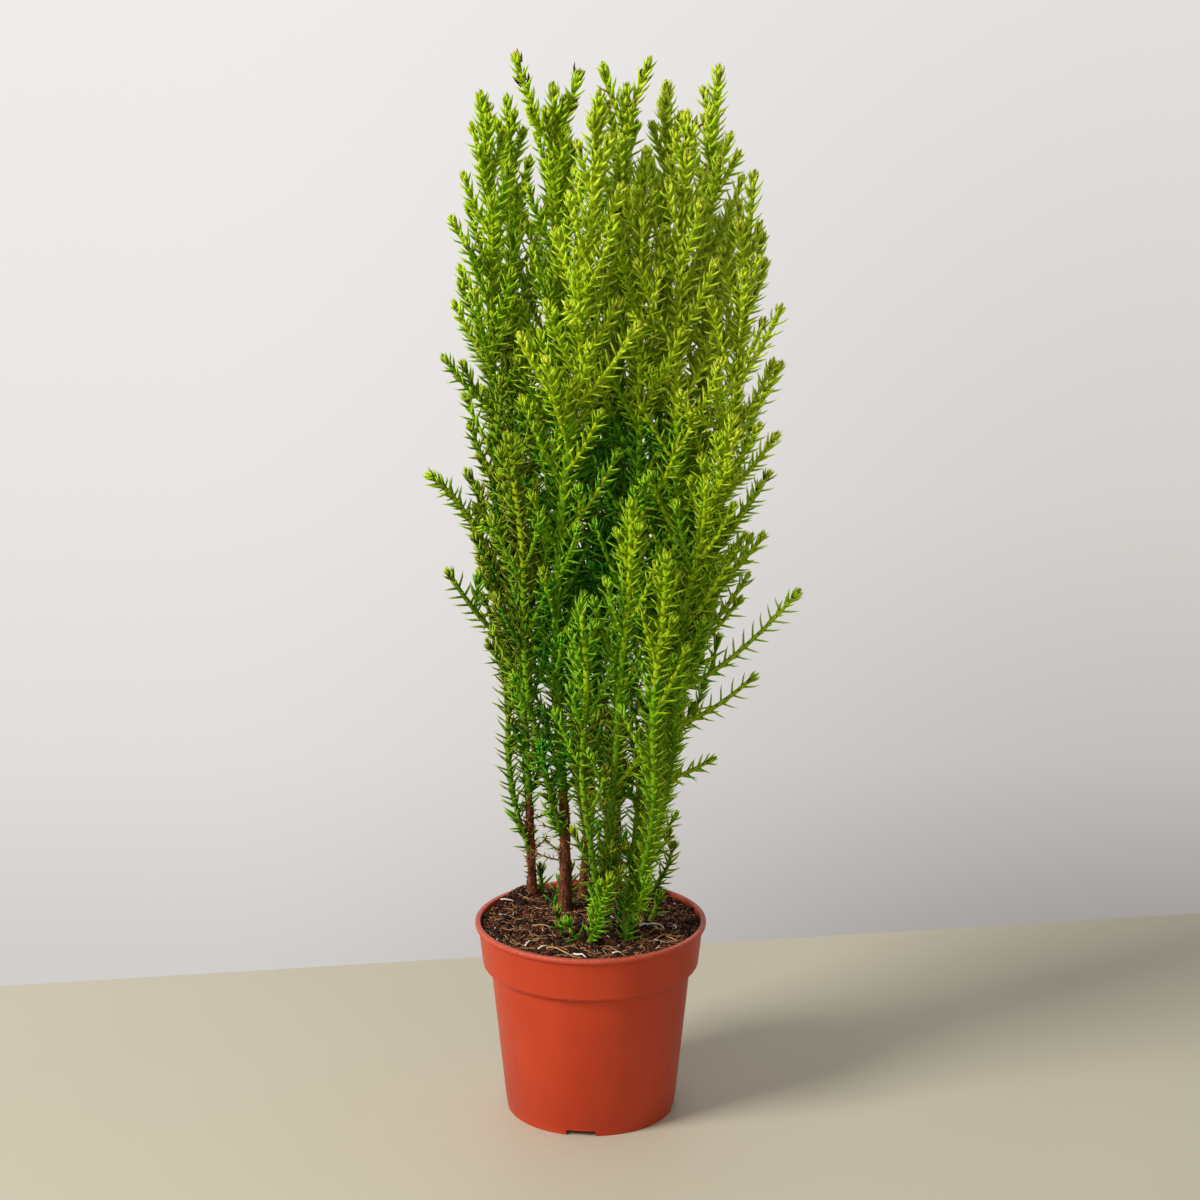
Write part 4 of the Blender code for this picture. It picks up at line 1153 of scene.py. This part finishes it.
def needleForm(bow):
    # a slim blade with a flat upper face and a keel, broad where it leaves the shoot, its point bent by bow
    bm = bmesh.new()
    length = needleShape["bladeLength"]
    bmesh.ops.create_cone(bm, cap_ends=True, segments=3, radius1=needleShape["root"],
                          radius2=needleShape["blade"], depth=length)
    poked = bmesh.ops.poke(bm, faces=[face for face in bm.faces if face.normal.z > 0.9])
    poked["verts"][0].co.z = 1 - length / 2
    keel = max(bm.verts, key=lambda vert: vert.co.xy.length)
    turn = -math.pi / 2 - math.atan2(keel.co.y, keel.co.x)
    bmesh.ops.rotate(bm, matrix=Matrix.Rotation(turn, 3, "Z"), verts=bm.verts)
    bmesh.ops.translate(bm, vec=(0, 0, length / 2), verts=bm.verts)
    for vert in bm.verts:
        vert.co.y = vert.co.y * needleShape["thick"] + bow * vert.co.z**2
    return formOf(bm)


needleForms = [needleForm(bow) for bow in needleShape["bows"]]
dealtNeedles = defaultdict(list)


def addNeedle(tone, place, heading, out, angle, length, width, rng):
    # out is square to the shoot's heading; the flat face looks up the shoot
    direction = heading * math.cos(angle) + out * math.sin(angle)
    side = heading.cross(out)
    face = side.cross(direction)
    if face.dot(heading) < 0:
        face = -face
    turned = np.array([side * width, face * width, direction * length]).T
    dealtNeedles[tone].append((rng.randrange(len(needleForms)), place[:], turned))


def clothe(shoot, level):
    # rings of four needles on a leader, crossed pairs on a twig, and a crest at the tip
    rule, rng = needleRule, random.Random(shoot.seed)
    points = [place for place, heading in shoot.stations]
    sums = lengthsAlong(points)
    leader = shoot.rank == 0
    around, kind, turning = (4, "leaderGap", "leaderTurn") if leader else (2, "gap", "turn")
    close = rule["close"].get(shoot.leader, 1.0)
    turn, distance = rng.uniform(0, math.pi), 0.0 if leader else rule["firstGap"]

    while distance < sums[-1]:
        place, heading = pointAlong(points, sums, distance)
        radius = float(np.interp(distance, sums, shoot.radii))
        near = smooth((sums[-1] - distance) / rule["nearTip"])
        turn += math.radians(rule[turning])
        for number in range(around):
            stray = rng.uniform(-rule["turnSpread"], rule["turnSpread"])
            out = squareTo(heading, turn + 2 * math.pi * number / around + stray)
            angle = rule["tipAngle"] + (byHeight("angle", place.z) - rule["tipAngle"]) * near
            angle = math.radians(angle + rule["jitter"] * rng.uniform(-1, 1))
            length = byHeight("length", place.z) * (rule["tipShare"] + (1 - rule["tipShare"]) * near)
            length *= 1 + rule["spread"] * rng.uniform(-1, 1)
            light = level + liftOf(place.z) + levelRule["needleSpread"] * rng.uniform(-1, 1)
            root = place + out * radius * rule["rootShare"]
            addNeedle(toneAt(light, familyOf(shoot, place)), root, heading, out, angle, length,
                      byHeight("width", place.z), rng)
        gap = close * byHeight(kind, place.z) * (rule["gapShare"] + (1 - rule["gapShare"]) * near)
        distance += gap * rng.uniform(*rule["gapSpread"])
    tip = points[-1].z
    more = levelRule["crestLow"] if tip < levelRule["crestZ"] else levelRule["crestHigh"]
    crest(shoot, level + liftOf(tip) + more, rng)


def crest(shoot, level, rng):
    # rings of shorter needles that close in over the tip
    rule, (place, heading) = needleRule, shoot.stations[-1]
    width = byHeight("width", place.z)
    turn = rng.uniform(0, math.pi)
    for ring, (count, angle, share) in enumerate(rule["crest"]):
        turn += rule["crestTurn"]
        for number in range(count):
            stray = rng.uniform(-rule["crestTurnSpread"], rule["crestTurnSpread"])
            out = squareTo(heading, turn + 2 * math.pi * number / count + stray)
            length = rule["tipLength"] * share * rng.uniform(*rule["crestSpread"])
            close = rule["crestRoot"] - rule["crestClose"] * ring
            root = place + heading * rule["crestRise"] * ring + out * shoot.radii[-1] * close
            lean = math.radians(angle + rng.uniform(-rule["crestJitter"], rule["crestJitter"]))
            light = level + levelRule["crestSpread"] * rng.uniform(-1, 1)
            addNeedle(toneAt(light, familyOf(shoot, place)), root, heading, out, lean, length, width, rng)


for shoot in shoots:
    clothe(shoot, levelOf(shoot))

# Needles on the bare limbs: where they start, as a length and as a share of the bare part, how far past it
# they go, their step, the share of the limb's radius, how many, their angles, lengths, width and tones
Loose = namedtuple("Loose", "start share past step radius counts angles lengths width tones")
longest = needleRule["length"][0]
looseKinds = dict(
    leafy=[Loose(0.003, 0.0, 0.0, 0.0019, 1.0, (2, 2, 3), (40, 70), (longest * 0.70, longest),
                 needleRule["width"][0], ("leaf", "leaf", "grass", "grassPale"))],
    # stubs all the way, and long dead needles near the leaves
    woody=[Loose(0.003, 0.0, 0.0, 0.0009, 1.0, (1, 2, 3), (35, 115), (0.0016, 0.0032), 0.0014, ("dead",)),
           Loose(0.0, 0.45, 0.003, 0.0022, 1.0, (0, 1, 2), (60, 110), (0.0030, 0.0062), 0.0008, ("dead",))],
    boughs=[Loose(0.004, 0.0, 0.004, 0.0024, 0.7, (0, 1, 2), (50, 100), (0.0020, 0.0055), 0.0010,
                  ("dead", "dry", "deep"))])
# how far out from the limb's middle they start, as a share of its radius
looseRoot = 0.7


def looseNeedles(name, loose, limb, rng):
    # dealt at random along a bare limb
    line, end = axes[name], starts[name]
    for place, heading in stretch(line, loose.start + loose.share * end, end + loose.past, loose.step):
        for number in range(rng.choice(loose.counts)):
            out = squareTo(heading, rng.uniform(0, 2 * math.pi))
            length = rng.uniform(*loose.lengths)
            tone = rng.choice(loose.tones) if len(loose.tones) > 1 else loose.tones[0]
            root = place + out * (limb * loose.radius) * looseRoot
            angle = math.radians(rng.uniform(*loose.angles))
            addNeedle(tone, root, heading, out, angle, length, loose.width, rng)


for name, stem in stemOf.items():
    rng = random.Random(f"{seed} {name} foot")
    kind = "leafy" if stem.green or name in greenBoughs else "woody" if name == stem.name else "boughs"
    for loose in looseKinds[kind]:
        looseNeedles(name, loose, stem.radius, rng)

# Small leafy shoots that sprout from the mix: place, lean to the right, height and level of tone
sprouts = [
    (-0.0227, 0.0360, -0.1, 0.013, 2.4), (-0.0127, -0.0180, -0.2, 0.012, 2.0),
    (-0.0095, 0.0180, 0.0, 0.021, 2.6), (-0.0050, -0.0250, -0.7, 0.010, 3.0),
    (0.0150, -0.0235, 0.5, 0.011, 3.2), (0.0130, -0.0110, 0.1, 0.016, 2.6), (0.0030, 0.0050, 0.3, 0.018, 2.0),
    (0.0270, 0.0020, 0.5, 0.013, 2.6), (-0.0040, 0.0500, 0.1, 0.013, 2.0), (0.0060, 0.0220, 0.0, 0.018, 2.0),
    (-0.0180, 0.0220, 0.3, 0.014, 2.2)]
sproutRule = dict(sunk=0.001, forward=-0.25, station=0.0016, curl=0.3, core=0.0009, taper=0.3,
                  firstSeed=0.31, seedStep=0.1)
for number, (x, y, lean, height, level) in enumerate(sprouts):
    root = Vector((x, y, soilHeight(x, y) - sproutRule["sunk"]))
    heading = Vector((lean, sproutRule["forward"], 1.0)).normalized()
    stations = twigPoints(root, heading, height, sproutRule["station"], sproutRule["curl"])
    radii = thinned(sproutRule["core"], len(stations), sproutRule["taper"])
    own = sproutRule["firstSeed"] + sproutRule["seedStep"] * number
    shoot = Shoot("right_sprig", 2, stations, radii, own)
    shoots.append(shoot)
    clothe(shoot, level)

# Withered twigs low on the two bare stems: stem, height, way they point in degrees, rise, length, and tone
withered = [("centre", 0.1372, 196, 0.55, 0.0120, "dry"), ("centre", 0.1318, 188, 0.10, 0.0100, "dead"),
            ("centre", 0.1200, 176, 0.50, 0.0130, "dry"), ("centre", 0.1165, 178, 0.05, 0.0150, "dead"),
            ("left", 0.1326, -8, 0.15, 0.0080, "dry"), ("left", 0.1300, 188, 0.30, 0.0050, "dead"),
            ("left", 0.1150, 2, 0.70, 0.0110, "dead"), ("centre", 0.1290, 330, 0.40, 0.0080, "dead")]
witheredRule = dict(station=0.0014, curl=0.35, core=0.00045, taper=0.4, deadCounts=(1, 2, 2), dryCount=3,
                    mixed=0.5, others=("deep", "leaf", "dead"), angles=(35, 80), lengths=(0.0022, 0.0048),
                    width=0.0009)
spent = []
for number, (name, height, way, rise, length, tone) in enumerate(withered):
    rng = random.Random(f"{seed} withered {number}")
    heading = Vector((math.cos(math.radians(way)), math.sin(math.radians(way)), rise)).normalized()
    root, rule = pointAtHeight(axes[name], height), witheredRule
    stations = twigPoints(root, heading, length, rule["station"], rule["curl"])
    radii = thinned(rule["core"], len(stations), rule["taper"])
    spent.append(([place for place, now in stations], radii))
    for place, now in stations[2:]:
        for index in range(rng.choice(rule["deadCounts"]) if tone == "dead" else rule["dryCount"]):
            out = squareTo(now, rng.uniform(0, 2 * math.pi))
            pick = tone if tone == "dead" or rng.random() < rule["mixed"] else rng.choice(rule["others"])
            angle = math.radians(rng.uniform(*rule["angles"]))
            addNeedle(pick, place, now, out, angle, rng.uniform(*rule["lengths"]), rule["width"], rng)

# Brown and black tips at the top: place across and up, number of needles, their length, and tone
burnt = [(-0.0292, 0.4880, 2, 0.0050, "dead"), (-0.0213, 0.4800, 4, 0.0056, "charred"),
         (-0.0122, 0.4800, 3, 0.0056, "charred"), (-0.0104, 0.4680, 9, 0.0046, "charred"),
         (-0.0080, 0.4640, 5, 0.0050, "dead"), (0.0249, 0.4660, 3, 0.0042, "dead"),
         (0.0223, 0.4780, 4, 0.0046, "charred"), (0.0060, 0.4760, 2, 0.0050, "dead"),
         (0.0500, 0.4600, 3, 0.0040, "dead")]
burntRule = dict(behind=0.15, turn=(-1.3, 1.3), out=0.0018, along=0.003, angles=(18, 60), spread=(0.8, 1.1),
                 width=0.0020)
spots = [(place, heading) for shoot in shoots if shoot.rank < 2 for place, heading in shoot.stations[2:]]
for number, (x, z, count, length, tone) in enumerate(burnt):
    # the nearest place across and up, and rather one in front
    rng, rule = random.Random(f"{seed} burnt {number}"), burntRule
    far = [math.hypot(spot.x - x, spot.z - z) + rule["behind"] * spot.y for spot, heading in spots]
    place, heading = spots[far.index(min(far))]
    for index in range(count):
        out = squareTo(heading, math.pi * 1.5 + rng.uniform(*rule["turn"]))
        root = place + out * rule["out"] + heading * rng.uniform(0, rule["along"])
        angle = math.radians(rng.uniform(*rule["angles"]))
        addNeedle(tone, root, heading, out, angle, length * rng.uniform(*rule["spread"]), rule["width"], rng)


def pieceChunks(coords, faces, most=190000):
    # pieces below the limit on triangles, each with only its own vertices
    count = math.ceil(len(faces) / most)
    for part in np.array_split(faces, count):
        used, renamed = np.unique(part, return_inverse=True)
        yield coords[used], renamed.reshape(-1, 3)


def makeNeedles():
    nodes = [f"foliage_{name}" for name in axes]
    for tone, (dark, light) in tones.items():
        lot = dealtNeedles[tone]
        if not lot:
            continue
        parts = []
        for kind, form in enumerate(needleForms):
            own = [(place, turned) for chosen, place, turned in lot if chosen == kind]
            if own:
                places, frames = (np.array(column) for column in zip(*own))
                parts.append(dealt(form, places, frames))
        material = mottled(f"needle{tone.capitalize()}", dark, light, 0.006, 0.50, 0.00003,
                           specular=0.20, glow=1.0)
        coords, faces = joinedArrays(parts)
        for number, (some, own) in enumerate(pieceChunks(coords, faces)):
            name = f"needles{tone.capitalize()}{number + 1}"
            mesh = arrayMesh(name, some, own)
            mesh.shade_smooth()
            dress(newObject(name, mesh, material), nodes)
            print(" ", name, len(own), "triangles")


# Rinds of the shoots: name, their tones, round sides, and a slot name
rinds = dict(
    shootsWoody=((84, 62, 12), (122, 100, 20), 10, "bark"),
    shootsSpent=((70, 36, 18), (112, 64, 34), 5, "bark"),
    shootsOlive=((70, 114, 4), (98, 138, 8), 8, "needles"),
    shootsDeep=((44, 106, 6), (68, 128, 10), 6, "needles"),
    shootsMiddle=((94, 142, 4), (120, 162, 8), 6, "needles"),
    shootsBright=((140, 166, 6), (164, 184, 14), 6, "needles"))
leaderRinds = ["shootsWoody", "shootsOlive", "shootsMiddle", "shootsBright"]
rindRule = dict(tipPast=0.0016, tipShare=0.45, deepBelow=2.9, middleBelow=4.5, woody=3, oliveTo=0.30,
                middleTo=0.62)


def makeShoots():
    # twigs take the rind of their level, with its painted light and shade; leaders turn from woody to olive,
    # green and pale green
    nodes = [f"foliage_{name}" for name in axes]
    runs = defaultdict(list)
    runs["shootsSpent"] = spent
    for shoot in shoots:
        points = [place for place, heading in shoot.stations]
        points.append(points[-1] + shoot.stations[-1][1] * rindRule["tipPast"])
        radii = [*shoot.radii, shoot.radii[-1] * rindRule["tipShare"]]
        if shoot.rank:
            level = levelOf(shoot) + liftOf(points[-1].z)
            rind = "shootsMiddle" if level < rindRule["middleBelow"] else "shootsBright"
            rind = "shootsDeep" if level < rindRule["deepBelow"] else rind
            runs[rind].append((points[::2] + points[-1:], radii[::2] + radii[-1:]))
            continue
        brown = not stemOf[shoot.leader].green and shoot.leader not in greenBoughs
        woody = rindRule["woody"] if brown else 0
        olive = max(woody + 2, round(len(points) * rindRule["oliveTo"]))
        green = round(len(points) * rindRule["middleTo"])
        ends = [0, woody, olive, green, len(points) - 1]
        for rind, low, high in zip(leaderRinds, ends, ends[1:]):
            if high > low:
                runs[rind].append((points[low:high + 1], radii[low:high + 1]))
    for name, (dark, light, around, slot) in rinds.items():
        material = mottled("rind" + name[6:], dark, light, 0.0024, 0.6, 0.00010, (1, 1, 5), 0.15)
        piece = dress(curveMesh(name, runs[name], around, material), nodes)
        print(" ", name, len(piece.data.polygons), "triangles")


makeShoots()
makeNeedles()
print("foliage made")
